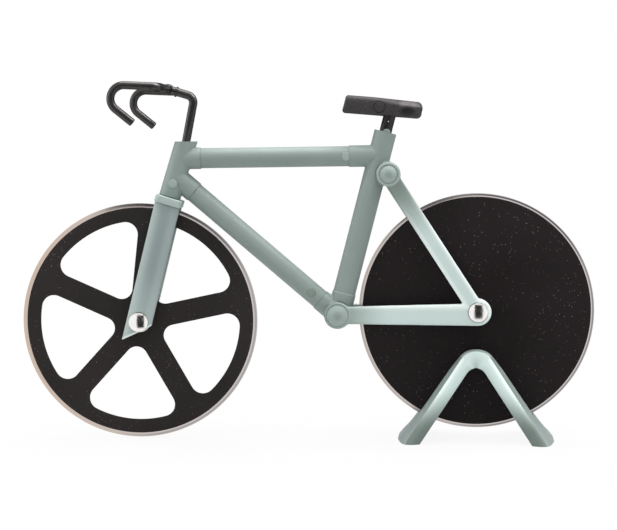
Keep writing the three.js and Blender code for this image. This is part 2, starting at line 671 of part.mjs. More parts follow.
// Stem: a rod bent forwards over the head tube, with an eye round the bar
function stem() {
  const corners = [point(0, -STEM_INSERT), stemBend, barMiddle].map((flat) => inDepth(flat, 0));
  const shaft = bentRod(new BentPath(corners, [STEM_BEND_RADIUS]), STEM_DIAMETER, STEM_STEPS);
  const halfEye = STEM_EYE_LENGTH / 2;
  const eye = disc(barMiddle, STEM_EYE_DIAMETER, -halfEye, halfEye);
  const hole = disc(barMiddle, BAR_DIAMETER + 2 * FIT_CLEARANCE, -STEM_EYE_LENGTH, STEM_EYE_LENGTH);
  return cut(join(shaft, eye), hole);
}

// Drop handlebar: straight through the eye, forwards at the shoulders, and down round the two hooks
function handlebar() {
  const half = BAR_SPREAD / 2;
  const climb = radians(BAR_CLIMB) - barTilt;
  const forwards = point(-Math.cos(climb), Math.sin(climb));
  const downTurn = radians(HOOK_TURN);
  const tailRun = forwards.clone().rotateAround(point(0, 0), downTurn);
  const setback = HOOK_RADIUS * Math.tan(downTurn / 2);
  const hookCorner = along(barMiddle, forwards, BAR_REACH + setback);
  const tailEnd = along(hookCorner, tailRun, setback + HOOK_TAIL);
  const nearHalf = [inDepth(tailEnd, half), inDepth(hookCorner, half), inDepth(barMiddle, half)];
  const farHalf = nearHalf.map((corner) => corner.clone().setZ(-half)).reverse();
  const shoulder = BAR_SHOULDER_RADIUS;
  const radii = [HOOK_RADIUS, shoulder, shoulder, HOOK_RADIUS];
  return bentRod(new BentPath([...nearHalf, ...farHalf], radii), BAR_DIAMETER, BAR_STEPS);
}

// The saddle is drawn with its origin on the underside at the post and its tail at +x, and then tilted
function onPost(geometry) {
  const seat = along(seatTop, seatUp, SEAT_POST_RISE);
  return geometry.rotateZ(-radians(SADDLE_TILT)).translate(seat.x, seat.y, 0);
}

// How far the rounded ends of the saddle draw its sides in, at a distance from the nearer end
function endRounding(distance) {
  const short = Math.max(SADDLE_END_ROUND - distance, 0);
  return SADDLE_END_ROUND - Math.sqrt(SADDLE_END_ROUND ** 2 - short ** 2);
}

// The saddle's half width at a distance from its tail, before the ends are rounded
function saddleHalfWidth(fromTail) {
  const flare = 1 - THREE.MathUtils.smoothstep(fromTail, SADDLE_FLARE_END, SADDLE_FLARE_START);
  return THREE.MathUtils.lerp(SADDLE_NOSE_WIDTH, SADDLE_TAIL_WIDTH, flare) / 2;
}

// A ring round the saddle, a squared ellipse
function saddleRing(fromTail) {
  const inset = endRounding(Math.min(fromTail, SADDLE_LENGTH - fromTail));
  const halfWidth = saddleHalfWidth(fromTail) - inset;
  const halfHeight = SADDLE_HEIGHT / 2 - inset;
  const squared = (share) => Math.sign(share) * Math.abs(share) ** SADDLE_SQUARENESS;
  const ring = [];
  for (let i = 0; i < SADDLE_AROUND; i += 1) {
    const angle = (2 * Math.PI * i) / SADDLE_AROUND;
    const height = SADDLE_HEIGHT / 2 + halfHeight * squared(Math.sin(angle));
    const depth = halfWidth * squared(Math.cos(angle));
    ring.push(new THREE.Vector3(SADDLE_POST_INSET - fromTail, height, depth));
  }
  return ring;
}

function saddleBody() {
  const ends = [];
  for (let step = 0; step < END_STEPS; step += 1) {
    const angle = (Math.PI / 2) * (step / END_STEPS);
    ends.push(SADDLE_END_ROUND * (1 - Math.cos(angle)));
  }
  const middle = [];
  for (let step = 0; step <= SADDLE_STEPS; step += 1) {
    const run = SADDLE_LENGTH - 2 * SADDLE_END_ROUND;
    middle.push(SADDLE_END_ROUND + run * (step / SADDLE_STEPS));
  }
  const nose = ends.map((distance) => SADDLE_LENGTH - distance).reverse();
  return loft([...ends, ...middle, ...nose].map(saddleRing));
}

// The pin through the saddle and the post's tang, with its head let into the saddle's near side
const saddlePinX = SADDLE_POST_INSET - SADDLE_PIN_INSET;
const saddlePinY = TANG_RISE + TANG_HEIGHT / 2;
function saddlePinShape(clearance) {
  const side = saddleHalfWidth(SADDLE_PIN_INSET);
  const head = SADDLE_PIN_DIAMETER / 2 + clearance;
  const shank = PIN_SHANK_DIAMETER / 2 + clearance;
  const seat = side - SADDLE_PIN_DEPTH - clearance;
  const face = side - SADDLE_PIN_SINK;
  const top = clearance > 0 ? side + SADDLE_PIN_DEPTH : face;
  const end = PIN_SHANK_WALL - side - clearance;
  const pin = turned([[0, end], [shank, end], [shank, seat], [head, seat], [head, top], [0, top]]);
  return pin.translate(saddlePinX, saddlePinY, 0);
}

// The tang is a small plate inside the saddle, and its slot is open below so that the post can be pushed in
function tangPlate(clearance, bottom) {
  const half = TANG_THICKNESS / 2 + clearance;
  const top = TANG_RISE + TANG_HEIGHT + clearance;
  const outline = new THREE.Shape([
    point(-TANG_REACH - clearance, bottom),
    point(SEAT_POST_DIAMETER / 2 + clearance, bottom),
    point(SEAT_POST_DIAMETER / 2 + clearance, top),
    point(-TANG_REACH - clearance, top),
  ]);
  return onPost(plate(outline, -half, half));
}

const postTop = along(seatTop, seatUp, SEAT_POST_RISE + TANG_RISE + TANG_HEIGHT / 2);

function saddle() {
  const slot = tangPlate(SEAM_GAP, -SADDLE_HEIGHT);
  const socket = rod(seatTop, along(postTop, seatUp, SEAM_GAP), SEAT_POST_DIAMETER + 2 * SEAM_GAP);
  return cut(onPost(saddleBody()), slot, socket, onPost(saddlePinShape(FIT_CLEARANCE)));
}

// The pin's head follows the saddle's rounded side
const saddlePin = () => asSolid(onPost(saddlePinShape(0))).intersect(asSolid(onPost(saddleBody())));

function seatPost() {
  const post = rod(along(seatTop, seatUp, -SEAT_POST_INSERT), postTop, SEAT_POST_DIAMETER);
  return cut(join(post, tangPlate(0, TANG_RISE)), onPost(saddlePinShape(FIT_CLEARANCE)));
}

// Stand, drawn with its origin on the ground under the rear axle: its outside at the near and far faces is two
// leaning lines joined by an arc, listed from the right foot over the top to the left foot
const standLean = radians(STAND_SPREAD);
const standArcHalf = Math.PI / 2 - standLean;
const standArcCentre = STAND_HEIGHT - STAND_APEX_RADIUS;
const standArmTop = standArcCentre + STAND_APEX_RADIUS * Math.sin(standLean);
const standArmRun = (standArmTop + STAND_ARM_THICKNESS) / Math.cos(standLean);
const standHalfRun = STAND_APEX_RADIUS * standArcHalf + standArmRun;

// The outline's point and outward direction at a distance from the top, to the right where it is positive
function standOutline(distance) {
  const side = Math.sign(distance) || 1;
  const arcRun = STAND_APEX_RADIUS * standArcHalf;
  const turn = Math.min(Math.abs(distance), arcRun) / STAND_APEX_RADIUS;
  const straight = Math.max(Math.abs(distance) - arcRun, 0);
  const outwards = point(side * Math.sin(turn), Math.cos(turn));
  const place = along(point(0, standArcCentre), outwards, STAND_APEX_RADIUS);
  const downArm = point(side * Math.cos(turn), -Math.sin(turn));
  return { place: along(place, downArm, straight), outwards };
}

// A ring round the stand's arm: the outside swells in the middle of its depth, and the inside is flat
function standRing(distance) {
  const { place, outwards } = standOutline(distance);
  const share = Math.abs(distance) / standHalfRun;
  const halfDepth = THREE.MathUtils.lerp(STAND_FOOT_DEPTH, STAND_TOP_DEPTH, place.y / STAND_HEIGHT) / 2;
  const bulge = THREE.MathUtils.lerp(STAND_TOP_BULGE, STAND_FOOT_BULGE, share ** 2);
  const extra = STAND_APEX_EXTRA * Math.max(1 - Math.abs(distance) / (2 * STAND_APEX_RADIUS), 0);
  const ring = [];
  for (let i = 0; i <= STAND_ACROSS; i += 1) {
    const across = 1 - (2 * i) / STAND_ACROSS;
    const swollen = along(place, outwards, bulge * (1 - across ** 4));
    ring.push(inDepth(swollen, across * halfDepth));
  }
  const inner = along(place, outwards, -STAND_ARM_THICKNESS - extra);
  ring.push(inDepth(inner, -halfDepth), inDepth(inner, halfDepth));
  return ring;
}

function stand() {
  const rings = [];
  for (let step = STAND_STEPS; step >= -STAND_STEPS; step -= 1) {
    const share = step / STAND_STEPS;
    rings.push(standRing(share * Math.abs(share) * standHalfRun));
  }
  const onGround = point(0, 0);
  const axle = point(0, rearAxle.y);
  const slotHalf = bladeHalf + SLOT_SIDE_CLEARANCE;
  const slot = disc(axle, WHEEL_DIAMETER + 2 * SLOT_END_CLEARANCE, -slotHalf, slotHalf, RIM_SIDES);
  return cut(loft(rings), halfSpace(onGround, point(1, 0)), slot);
}

// The assembly: everything stands in the side view, and the stem and bar in their own turned frame
const cutter = new THREE.Group();
const sideView = new THREE.Group();
sideView.rotation.x = Math.PI / 2;
cutter.add(sideView);

const steering = new THREE.Group();
steering.position.set(headTop.x, headTop.y, 0);
steering.rotation.z = -barTilt;
const turnedBar = new THREE.Group();
turnedBar.rotation.y = -radians(BAR_TURN);
steering.add(turnedBar);
sideView.add(steering);

function addPiece(name, shape, material, parent = sideView) {
  const geometry = shape.isBufferGeometry ? shape : geometryOf(shape);
  const mesh = new THREE.Mesh(geometry, material());
  mesh.name = name;
  parent.add(mesh);
  return mesh;
}

const placed = (mesh, spot) => mesh.position.set(spot.x, spot.y, 0);
const sides = { near: 1, far: -1 };

placed(addPiece("front_blade", spokedBlade(), coatedSteel), frontAxle);
placed(addPiece("rear_blade", bladeDisc(), coatedSteel), rearAxle);
placed(addPiece("front_axle_rivet", axleRivet(forkOutside), polishedSteel), frontAxle);
placed(addPiece("rear_axle_rivet", axleRivet(armOutside), polishedSteel), rearAxle);
addPiece("head_lug", headLug(), framePlastic);
addPiece("seat_tube", seatTube(), framePlastic);
addPiece("bottom_bracket", bottomBracket(), framePlastic);
const topTubeStart = along(topTubeFront, topTubeRun, TOP_TUBE_HEAD_STUB);
const topTubeEnd = along(topTubeRear, topTubeRun, -TOP_TUBE_SEAT_STUB);
addPiece("top_tube", frameTube(topTubeStart, topTubeEnd, topTubePin), framePlastic);
const downTubeStart = along(downTubeFront, downTubeRun, DOWN_TUBE_HEAD_STUB);
const downTubeEnd = along(bracket, downTubeRun, -DOWN_TUBE_BRACKET_STUB);
addPiece("down_tube", frameTube(downTubeStart, downTubeEnd, downTubePin), framePlastic);
placed(addPiece("head_pin", crossPin(HEAD_TUBE_DIAMETER, 0), framePlastic), headPin);
placed(addPiece("top_tube_pin", crossPin(TUBE_DIAMETER, 0), framePlastic), topTubePin);
placed(addPiece("down_tube_pin", crossPin(TUBE_DIAMETER, 0), framePlastic), downTubePin);
addPiece("fork_crown", forkCrown(), palePlastic);
for (const [name, side] of Object.entries(sides)) {
  addPiece(`fork_leg_${name}`, forkLeg(side), palePlastic);
  addPiece(`rear_arm_${name}`, rearArm(side), palePlastic);
  const turn = side > 0 ? 0 : Math.PI;
  const pairs = [
    [`front_spacer_${name}`, spacer(forkInside), whiteNylon, frontAxle],
    [`rear_spacer_${name}`, spacer(armInside), whiteNylon, rearAxle],
    [`seat_cap_${name}`, bossCap(SEAT_CAP_DIAMETER), framePlastic, ear],
    [`bracket_cap_${name}`, bossCap(BRACKET_CAP_DIAMETER), framePlastic, bracket],
  ];
  for (const [pieceName, shape, material, spot] of pairs) {
    const mesh = addPiece(pieceName, shape, material);
    mesh.rotation.y = turn;
    placed(mesh, spot);
  }
}
addPiece("stem", stem(), blackRod, turnedBar);
addPiece("handlebar", handlebar(), blackRod, turnedBar);
addPiece("seat_post", seatPost(), blackRod);
addPiece("saddle", saddle(), saddlePlastic);
addPiece("saddle_pin", saddlePin(), saddlePlastic);
const standMesh = addPiece("stand", stand(), standPlastic);
standMesh.position.x = rearAxle.x;
standMesh.rotation.y = -radians(STAND_TURN);

export default cutter;
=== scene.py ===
"""Pizza cutter shaped like a bicycle: smooth pieces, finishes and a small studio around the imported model.

The CAD model is the fixed frame. Each piece here stands for one of its nodes, is modelled in place in metres,
and rides on the node's body. The side view has x along the cutter and y up, and the near side is at -Y.
"""

import json
import math

import bmesh
import bpy
from bpy.props import FloatProperty, FloatVectorProperty, IntProperty, PointerProperty
from mathutils import Matrix, Vector


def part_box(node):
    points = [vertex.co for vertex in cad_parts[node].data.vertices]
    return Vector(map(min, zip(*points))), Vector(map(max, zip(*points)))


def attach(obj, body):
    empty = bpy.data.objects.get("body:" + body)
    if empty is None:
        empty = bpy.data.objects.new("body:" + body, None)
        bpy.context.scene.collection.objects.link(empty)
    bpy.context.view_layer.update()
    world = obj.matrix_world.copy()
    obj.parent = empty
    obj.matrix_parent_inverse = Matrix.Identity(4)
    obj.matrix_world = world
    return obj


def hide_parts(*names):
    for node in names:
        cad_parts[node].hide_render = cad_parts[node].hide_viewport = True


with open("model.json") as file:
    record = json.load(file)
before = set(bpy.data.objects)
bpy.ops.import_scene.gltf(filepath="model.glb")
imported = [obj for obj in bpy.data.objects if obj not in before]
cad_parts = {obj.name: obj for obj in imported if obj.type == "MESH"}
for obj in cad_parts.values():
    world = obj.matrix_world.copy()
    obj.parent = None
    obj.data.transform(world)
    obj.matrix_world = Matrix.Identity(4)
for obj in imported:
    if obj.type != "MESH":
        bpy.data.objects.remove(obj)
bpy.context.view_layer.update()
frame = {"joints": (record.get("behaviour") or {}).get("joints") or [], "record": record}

bl_info = {
    "name": "Bicycle Pizza Cutter",
    "version": (1, 0, 0),
    "blender": (4, 5, 0),
    "location": "View3D > Sidebar > Cutter",
    "description": "Builds the finished pieces and the studio of a pizza cutter shaped like a bicycle",
    "category": "Object",
}

MM = 0.001
NEAR = Vector((0, -1, 0))
UP = Vector((0, 0, 1))
SIDES = {"near": 1, "far": -1}

# Fineness of the meshes
RIM_STEPS = 256
TUBE_STEPS = 96
ROD_STEPS = 40
HOLE_STEPS = 48
ARC_STEPS = 14
BEND_STEPS = 24
DOME_STEPS = 12
SMOOTH_ANGLE = math.radians(32)
MERGE_DISTANCE = 0.001 * MM
CUT_TOLERANCE = 0.0001 * MM

# Rounding of the pieces' edges
SEAM_EDGE = 0.05 * MM
SMALL_EDGE = 0.2 * MM
BAR_EDGE = 0.25 * MM
SOFT_EDGE = 0.3 * MM
FORK_EDGE = 0.4 * MM
EYE_EDGE = 0.5 * MM

# Times a point, this leaves the point without its depth
WITHOUT_DEPTH = (1.0, 0.0, 1.0)


# Settings that a user would change

def size(label, millimetres, about):
    return FloatProperty(
        name=label, description=about, default=millimetres * MM, unit="LENGTH", subtype="DISTANCE"
    )


def angle(label, degrees, about):
    return FloatProperty(name=label, description=about, default=math.radians(degrees), subtype="ANGLE")


def share(label, value, about):
    return FloatProperty(name=label, description=about, default=value, min=0, max=1, subtype="FACTOR")


def power(label, watts, about):
    return FloatProperty(name=label, description=about, default=watts, min=0, unit="POWER")


def strength(label, value, about):
    return FloatProperty(name=label, description=about, default=value, min=0)


def count(label, number, about, least=0):
    return IntProperty(name=label, description=about, default=number, min=least)


def point(label, x, y, z, about):
    return FloatVectorProperty(name=label, description=about, default=(x, y, z), subtype="TRANSLATION")


def linear(level):
    """One channel of a colour, from the 0 to 255 of a picture to the light that it stands for."""
    value = level / 255
    return value / 12.92 if value <= 0.04045 else ((value + 0.055) / 1.055) ** 2.4


def colour(label, red, green, blue, about):
    return FloatVectorProperty(
        name=label,
        description=about,
        default=(linear(red), linear(green), linear(blue)),
        subtype="COLOR",
        min=0,
        max=1,
    )


class CutterBlades(bpy.types.PropertyGroup):
    """Sizes and colours of the two blades and their axles."""

    thickness: size("Thickness", 1.2, "Thickness of the steel disc")
    edge: size("Edge", 0.3, "Thickness left at the cutting edge")
    front_bevel: size("Front bevel", 1.65, "Width of the bare ground bevel of the front blade")
    rear_bevel: size("Rear bevel", 1.35, "Width of the bare ground bevel of the rear blade")
    spokes: count("Spokes", 5, "Number of spokes of the front blade", 3)
    spoke_width: size("Spoke width", 8.85, "Width of a spoke")
    spoke_turn: angle("Spoke turn", 12.0, "The first spoke above the line towards the rear")
    opening_radius: size("Opening radius", 40.4, "Reach of the openings from the axle")
    hub_fillet: size("Hub fillet", 4.5, "Rounding of an opening at the hub")
    rim_fillet: size("Rim fillet", 5.0, "Rounding of an opening's outer corners")
    axle: size("Axle", 4.0, "Diameter of the axle rivet's shank")
    head: size("Rivet head", 7.6, "Diameter of the axle rivet's domed head")
    head_height: size("Head height", 1.5, "Height of the rivet's head")
    head_edge: size("Head edge", 0.6, "Height of the head's rim below its dome")
    recess: size("Recess", 8.2, "Diameter of the shallow recess round the head")
    recess_depth: size("Recess depth", 0.6, "Depth of that recess")
    spacer: size("Spacer", 9.0, "Diameter of the spacer rings beside the blade")
    front_coat: colour("Front coat", 38, 34, 34, "Black non-stick coat of the front blade")
    rear_coat: colour("Rear coat", 25, 20, 21, "Black non-stick coat of the rear blade")
    dust: colour("Dust", 165, 157, 151, "Dust and fine scratches on the coat")
    steel: colour("Steel", 206, 200, 198, "Bare ground steel of the edge")
    # Painted reflection: the warm tint that the bare steel shows towards the front.
    steel_warm_reflection: colour("Warm steel", 205, 186, 172, "Tint of the steel towards the front and below")
    # Painted reflection: the dark line along the bevel.
    steel_dark_reflection: colour("Dark steel", 84, 80, 86, "Dark line along the bevel")
    # How far each bevel takes the painted warm reflection, and how deep its painted dark line is all round.
    front_reflection_warmth: share("Front warmth", 1.0, "How far the front blade's edge takes the warm tint")
    rear_reflection_warmth: share("Rear warmth", 0.35, "How far the rear blade's edge takes the warm tint")
    front_reflection_line: share("Front line", 0.0, "Depth of the dark line all round the front blade")
    rear_reflection_line: share("Rear line", 0.25, "Depth of the dark line all round the rear blade")
    polish: colour("Polish", 250, 247, 245, "Polished steel of the rivets")
    nylon: colour("Nylon", 232, 230, 224, "White nylon of the spacers")


class CutterFrame(bpy.types.PropertyGroup):
    """Sizes and colours of the moulded frame, fork and rear arms."""

    head_lean: angle("Head lean", 16.8, "Lean of the head tube from upright")
    head_diameter: size("Head tube", 8.8, "Diameter of the head tube")
    head_length: size("Head tube length", 23.1, "Length of the head tube along its axis")
    seat_lean: angle("Saddle tube lean", 14.24, "Lean of the seat tube from upright")
    seat_diameter: size("Saddle tube", 9.0, "Diameter of the seat tube")
    seat_length: size("Saddle tube length", 76.0, "From beside the bottom bracket to the open top")
    seat_setback: size("Saddle tube setback", 0.6, "The seat tube's axis behind the bottom bracket")
    seat_seam: size("Saddle tube seam", 9.2, "Seam along the seat tube from the bottom bracket")
    tube: size("Tube", 8.1, "Diameter of the top tube and the down tube")
    stub: size("Stub", 8.7, "Diameter of the lugs' stubs")
    seam: size("Seam", 0.03, "Width of the seam between two mouldings")
    top_at_head: size("Top tube at head", 15.95, "Along the head tube from its foot")
    top_below: size("Top tube below top", 9.85, "Along the seat tube from its open top")
    top_head_stub: size("Top stub at head", 7.9, "Length of the head lug's stub for the top tube")
    top_seat_stub: size("Top stub at seat", 12.3, "Length of the seat tube's stub for the top tube")
    down_at_head: size("Down tube at head", 8.4, "Along the head tube from its foot")
    down_head_stub: size("Down stub at head", 9.7, "Length of the head lug's stub for the down tube")
    down_foot_stub: size("Down stub at foot", 9.0, "Length of the bottom bracket's stub")
    foot_stub: size("Foot stub", 9.5, "Diameter of the bottom bracket's stub at the seat tube")
    bracket: size("Bottom bracket", 10.7, "Diameter of the bottom bracket's boss")
    ear: size("Ear", 9.8, "Diameter of the boss that carries the seat stays")
    pin: size("Pin", 3.6, "Diameter of the cross pins' heads")
    pin_proud: size("Pin proud", 0.15, "How far a pin's head stands out of its tube")
    pin_depth: size("Pin depth", 1.0, "Depth of a pin's head")
    shank: size("Pin shank", 1.6, "Diameter of the pins' shanks")
    groove: size("Groove", 0.04, "Groove round a pin's head")
    relief: size("Relief", 0.3, "Room round the arms' bosses where they lie against a lug")
    fit: size("Fit", 0.15, "Clearance round a fixed pin or peg")
    fork_lean: angle("Fork lean", 13.8, "Lean of the fork legs from upright")
    fork_gap: size("Fork gap", 6.4, "Room between the fork legs")
    leg_width: size("Leg width", 10.25, "Width of a fork leg in the side view")
    leg_thickness: size("Leg thickness", 4.5, "Thickness of a fork leg at its crest")
    leg_side: size("Leg side", 2.7, "Height of a fork leg's flat sides below its rounded face")
    leg_setback: size("Leg setback", 0.1, "The leg's middle line behind the axle")
    tip_drop: size("Tip drop", 8.8, "The leg's pointed corner below the axle")
    tip_slant: angle("Tip slant", 25.0, "Slope of the leg's end")
    collar_length: size("Collar length", 10.9, "Length of the fork's collar in the side view")
    collar_height: size("Collar height", 3.0, "Height of the fork's collar")
    collar_overhang: size("Collar overhang", 0.5, "The collar past the legs at each side")
    collar_corner: size("Collar corner", 2.0, "Rounding of the collar's upright corners")
    collar_gap: size("Collar gap", 0.9, "From the front blade's edge to the collar")
    arm_gap: size("Arm gap", 8.8, "Room between the rear arms")
    arm_thickness: size("Arm thickness", 3.5, "Thickness of a rear arm")
    boss_proud: size("Boss proud", 0.4, "How far the bosses stand out of an arm")
    axle_boss: size("Axle boss", 10.9, "Diameter of an arm's end round the axle")
    seat_stay: size("Upper stay", 6.4, "Width of the arm's upper bar")
    chain_stay: size("Lower stay", 6.8, "Width of the arm's lower bar at the bottom bracket")
    seat_cap: size("Upper cap", 7.1, "Diameter of the upper domed cap")
    bracket_cap: size("Lower cap", 8.7, "Diameter of the lower domed cap")
    cap_seat: size("Cap seat", 1.0, "Depth of the recess under a cap's rim")
    cap_flare: size("Cap flare", 0.5, "Bevel of the recess round a cap")
    cap_edge: size("Cap edge", 0.5, "Height of a cap's rim")
    cap_dome: size("Cap dome", 1.4, "Rise of a cap's dome")
    cap_shank: size("Cap shank", 4.0, "Diameter of a cap's shank")
    side_play: size("Side play", 0.15, "Clearance between faces stacked across the cutter")
    voxel: size("Voxel", 0.22, "Grain of the moulded lugs' meshes")
    rounding: count("Rounding", 5, "Smoothing rounds that melt a lug's inner corners")
    arm_rounding: count("Arm rounding", 36, "Smoothing rounds that round the rear arms")
    green: colour("Green", 137, 150, 145, "Sage green plastic of the tubes and lugs")
    green_shade: colour("Green shade", 128, 141, 137, "Darker drift in the sage green")
    pale: colour("Pale green", 198, 215, 211, "Pale green plastic of the arms and the stand")
    # Painted highlight: the light colour along the arms' rounded edges, the fork legs' slanting ends and the
    # stand's ridge.
    pale_edge_highlight: colour("Pale edge", 230, 241, 238, "Thin edges of the pale plastic")
    # Painted shade on the arms towards the bosses, and the darker tone of the down tube's pin.
    pale_deep: colour("Pale shade", 120, 134, 127, "Where the pale plastic is denser")
    leg: colour("Leg", 136, 149, 149, "Bluish green along the middle of the fork legs")
    # Painted highlight on the fork legs' rounded edges.
    leg_edge_highlight: colour("Leg edge", 162, 176, 173, "Paler edges of the fork legs")


class CutterBar(bpy.types.PropertyGroup):
    """Sizes and colour of the stem and the drop handlebar."""

    stem: size("Stem", 3.4, "Diameter of the stem")
    lean: angle("Stem lean", 10.7, "Lean of the stem from upright")
    insert: size("Insert", 11.0, "Depth of the stem in the head tube")
    rise: size("Rise", 18.1, "From the head tube's top to the stem's bend")
    reach: size("Reach", 11.1, "From the stem's bend to the bar")
    climb: angle("Climb", 16.5, "Slope of the stem's forward run")
    stem_bend: size("Stem bend", 3.1, "Radius of the stem's bend")
    eye: size("Eye", 4.3, "Diameter of the stem's eye round the bar")
    eye_length: size("Eye length", 3.6, "Length of the eye along the bar")
    ring: size("Ring", 4.2, "Diameter of the ring on the stem beside the eye")
    ring_width: size("Ring width", 0.9, "Width of that ring")
    bar: size("Bar", 3.2, "Diameter of the handlebar")
    spread: size("Spread", 44.0, "Between the middles of the two hooks")
    shoulder: size("Shoulder", 4.0, "Radius of the bar's shoulders")
    bar_reach: size("Bar reach", 13.4, "From the middle of the bar to the start of the hook")
    bar_climb: angle("Bar climb", 2.5, "Slope of the bar's forward run")
    hook_radius: size("Hook radius", 5.25, "Radius of the hooks")
    hook_turn: angle("Hook turn", 144.0, "How far a hook turns down")
    tail: size("Tail", 8.6, "Straight end of a hook")
    turn: angle("Bar turn", 5.3, "The bar's near side is turned forwards")
    running: size("Running clearance", 0.08, "Round the stem in its bore and the axles in the blades")
    black: colour("Black", 34, 31, 30, "Glossy black of the rods")


class CutterSaddle(bpy.types.PropertyGroup):
    """Sizes and colour of the saddle and its post."""

    length: size("Length", 31.9, "Length of the saddle")
    height: size("Height", 7.3, "Height of the saddle")
    nose_width: size("Nose width", 7.4, "Width of the nose")
    tail_width: size("Tail width", 14.6, "Width of the tail")
    flare_start: size("Flare start", 20.0, "Where the nose begins to widen, from the tail")
    flare_end: size("Flare end", 4.0, "Where the full width is reached, from the tail")
    end_round: size("End rounding", 2.0, "Rounding of the tail")
    nose_round: size("Nose rounding", 1.3, "Rounding of the nose")
    undercut: share("Undercut", 0.62, "How much narrower the tail is below its wings")
    nose_rake: size("Nose rake", 0.9, "How far the nose's upper edge is set back")
    tail_drop: size("Tail drop", 0.6, "How much lower the saddle is at its tail")
    squareness: share("Squareness", 0.6, "1 is an ellipse, and less is squarer")
    tilt: angle("Tilt", 4.5, "Slope of the saddle")
    post_inset: size("Post inset", 12.8, "From the tail to the post")
    post: size("Post", 4.95, "Diameter of the seat post")
    post_insert: size("Post insert", 13.0, "Depth of the post in the seat tube")
    post_rise: size("Post rise", 6.35, "From the seat tube's top to the saddle's underside")
    pin: size("Pin", 4.4, "Diameter of the pin's head")
    pin_inset: size("Pin inset", 17.2, "From the tail to the pin")
    pin_height: size("Pin height", 3.55, "Above the saddle's underside")
    pin_depth: size("Pin depth", 1.2, "Depth of the pin's head")
    groove: size("Groove", 0.22, "Groove round the pin's head")
    lip: size("Lip", 3.1, "Diameter of the round lip on the seat tube's mouth")
    lip_depth: size("Lip depth", 0.5, "How far that lip is set back from the tube's near face")
    lip_back: size("Lip back", 0.4, "How far the lip's middle lies behind the tube's axis")
    lip_drop: size("Lip drop", 0.2, "How far the lip's middle lies below the tube's mouth")
    mark_rise: size("Mark rise", 4.3, "Height of the mark on the post above the seat tube")
    black: colour("Black", 56, 53, 54, "Fine-grained black of the saddle")
    # Painted highlight on top of the saddle's wings.
    wing: colour("Wing", 100, 96, 97, "Rubbed, greyer top of the saddle's wings")
    # Painted shade in the hollow below a wing.
    hollow: colour("Hollow", 24, 22, 22, "Deep black of the hollow below a wing")


class CutterStand(bpy.types.PropertyGroup):
    """Sizes and colours of the stand."""

    height: size("Height", 35.8, "Height of the arch's near and far edges")
    spread: angle("Spread", 34.2, "Lean of each arm from upright")
    thickness: size("Thickness", 5.1, "Thickness of an arm")
    apex_radius: size("Apex radius", 7.5, "Outer radius of the arch's top")
    inner_radius: size("Inner radius", 4.4, "Inner radius of the arch's top")
    top_depth: size("Top depth", 16.0, "Depth of the arch at its top")
    foot_depth: size("Foot depth", 44.0, "Depth of the arch on the ground")
    top_bulge: size("Top bulge", 0.4, "Swelling of the outside at the top")
    arm_bulge: size("Arm bulge", 1.15, "Swelling of the outside along the arms")
    foot_bulge: size("Foot bulge", 6.1, "Swelling of the outside at the end of an arm, below the ground")
    foot_round: size("Foot rounding", 0.8, "How high the feet's outer edges curl in")
    face_round: size("Face rounding", 0.9, "How far the near and far faces curve back at their edges")
    edge: size("Edge", 0.2, "Rounding of the edges")
    slot: size("Slot", 5.2, "Width of the slot for the rear blade")
    slot_end: size("Slot end", 0.35, "From the rear blade's edge to the bottom of the slot")
    turn: angle("Turn", 4.5, "The stand's near side is turned forwards")
    # Painted shade: the outer faces are coloured darker than the near and far faces.
    outside: colour("Outside", 178, 191, 187, "Greyer green of the outer faces")
    # Painted shade: a darker line beside the ridge on the outer faces.
    crease_shade: colour("Crease", 116, 131, 124, "Darker line on the outer faces beside the ridge")
    # Painted shade: the near and far faces, and the outer faces, darken towards the feet.
    foot: colour("Foot", 108, 121, 115, "Denser green of the feet's near and far faces")
    outside_foot_shade: colour("Outside foot", 142, 154, 152, "Greyer green of the feet's outer faces")


class CutterStage(bpy.types.PropertyGroup):
    """The studio: camera, lamps and backdrop."""

    eye: point("Camera", 0.0096, -0.7, 0.117, "Place of the camera")
    aim: point("Aim", 0.00012, 0, 0.07007, "Point that the camera looks at")
    lens: FloatProperty(name="Lens", description="Focal length in millimetres", default=101.2)
    surround: strength("Surround", 0.8, "Strength of the even light from all sides")
    key: power("Key lamp", 11.5, "Power of the lamp overhead")
    left: power("Left lamp", 2.2, "Power of the lamp at the left")
    right: power("Right lamp", 3.0, "Power of the lamp at the right")
    streak: strength("Streak", 14.0, "Strength of the card that draws streaks on the rods")


# Places in the side view, from the frame's joints and nodes

def upright(lean):
    return Vector((math.sin(lean), math.cos(lean)))


def rearwards(direction):
    return Vector((direction.y, -direction.x))


def joint_spot(name):
    """Where a joint's axis crosses the middle of the cutter."""
    joint = next(entry for entry in frame["joints"] if entry["name"] == name)
    return Vector((joint["pos_m"][0], joint["pos_m"][2]))


def node_spot(node):
    """The middle of a CAD node."""
    low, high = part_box(node)
    middle = (low + high) / 2
    return Vector((middle.x, middle.z))


def place(spot, depth=0.0):
    """A spot of the side view as a point of the frame, at a depth towards the near side."""
    return Vector((spot.x, -depth, spot.y))


def run_of(direction):
    """A direction of the side view as a direction of the frame."""
    return Vector((direction.x, 0, direction.y))


FRONT_AXLE = joint_spot("front_wheel_spin")
REAR_AXLE = joint_spot("rear_wheel_spin")
HEAD_TOP = joint_spot("bar_turn")
BRACKET = node_spot("bracket_cap_near")
EAR = node_spot("seat_cap_near")
RIM_RADIUS = (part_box("rear_blade")[1].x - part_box("rear_blade")[0].x) / 2


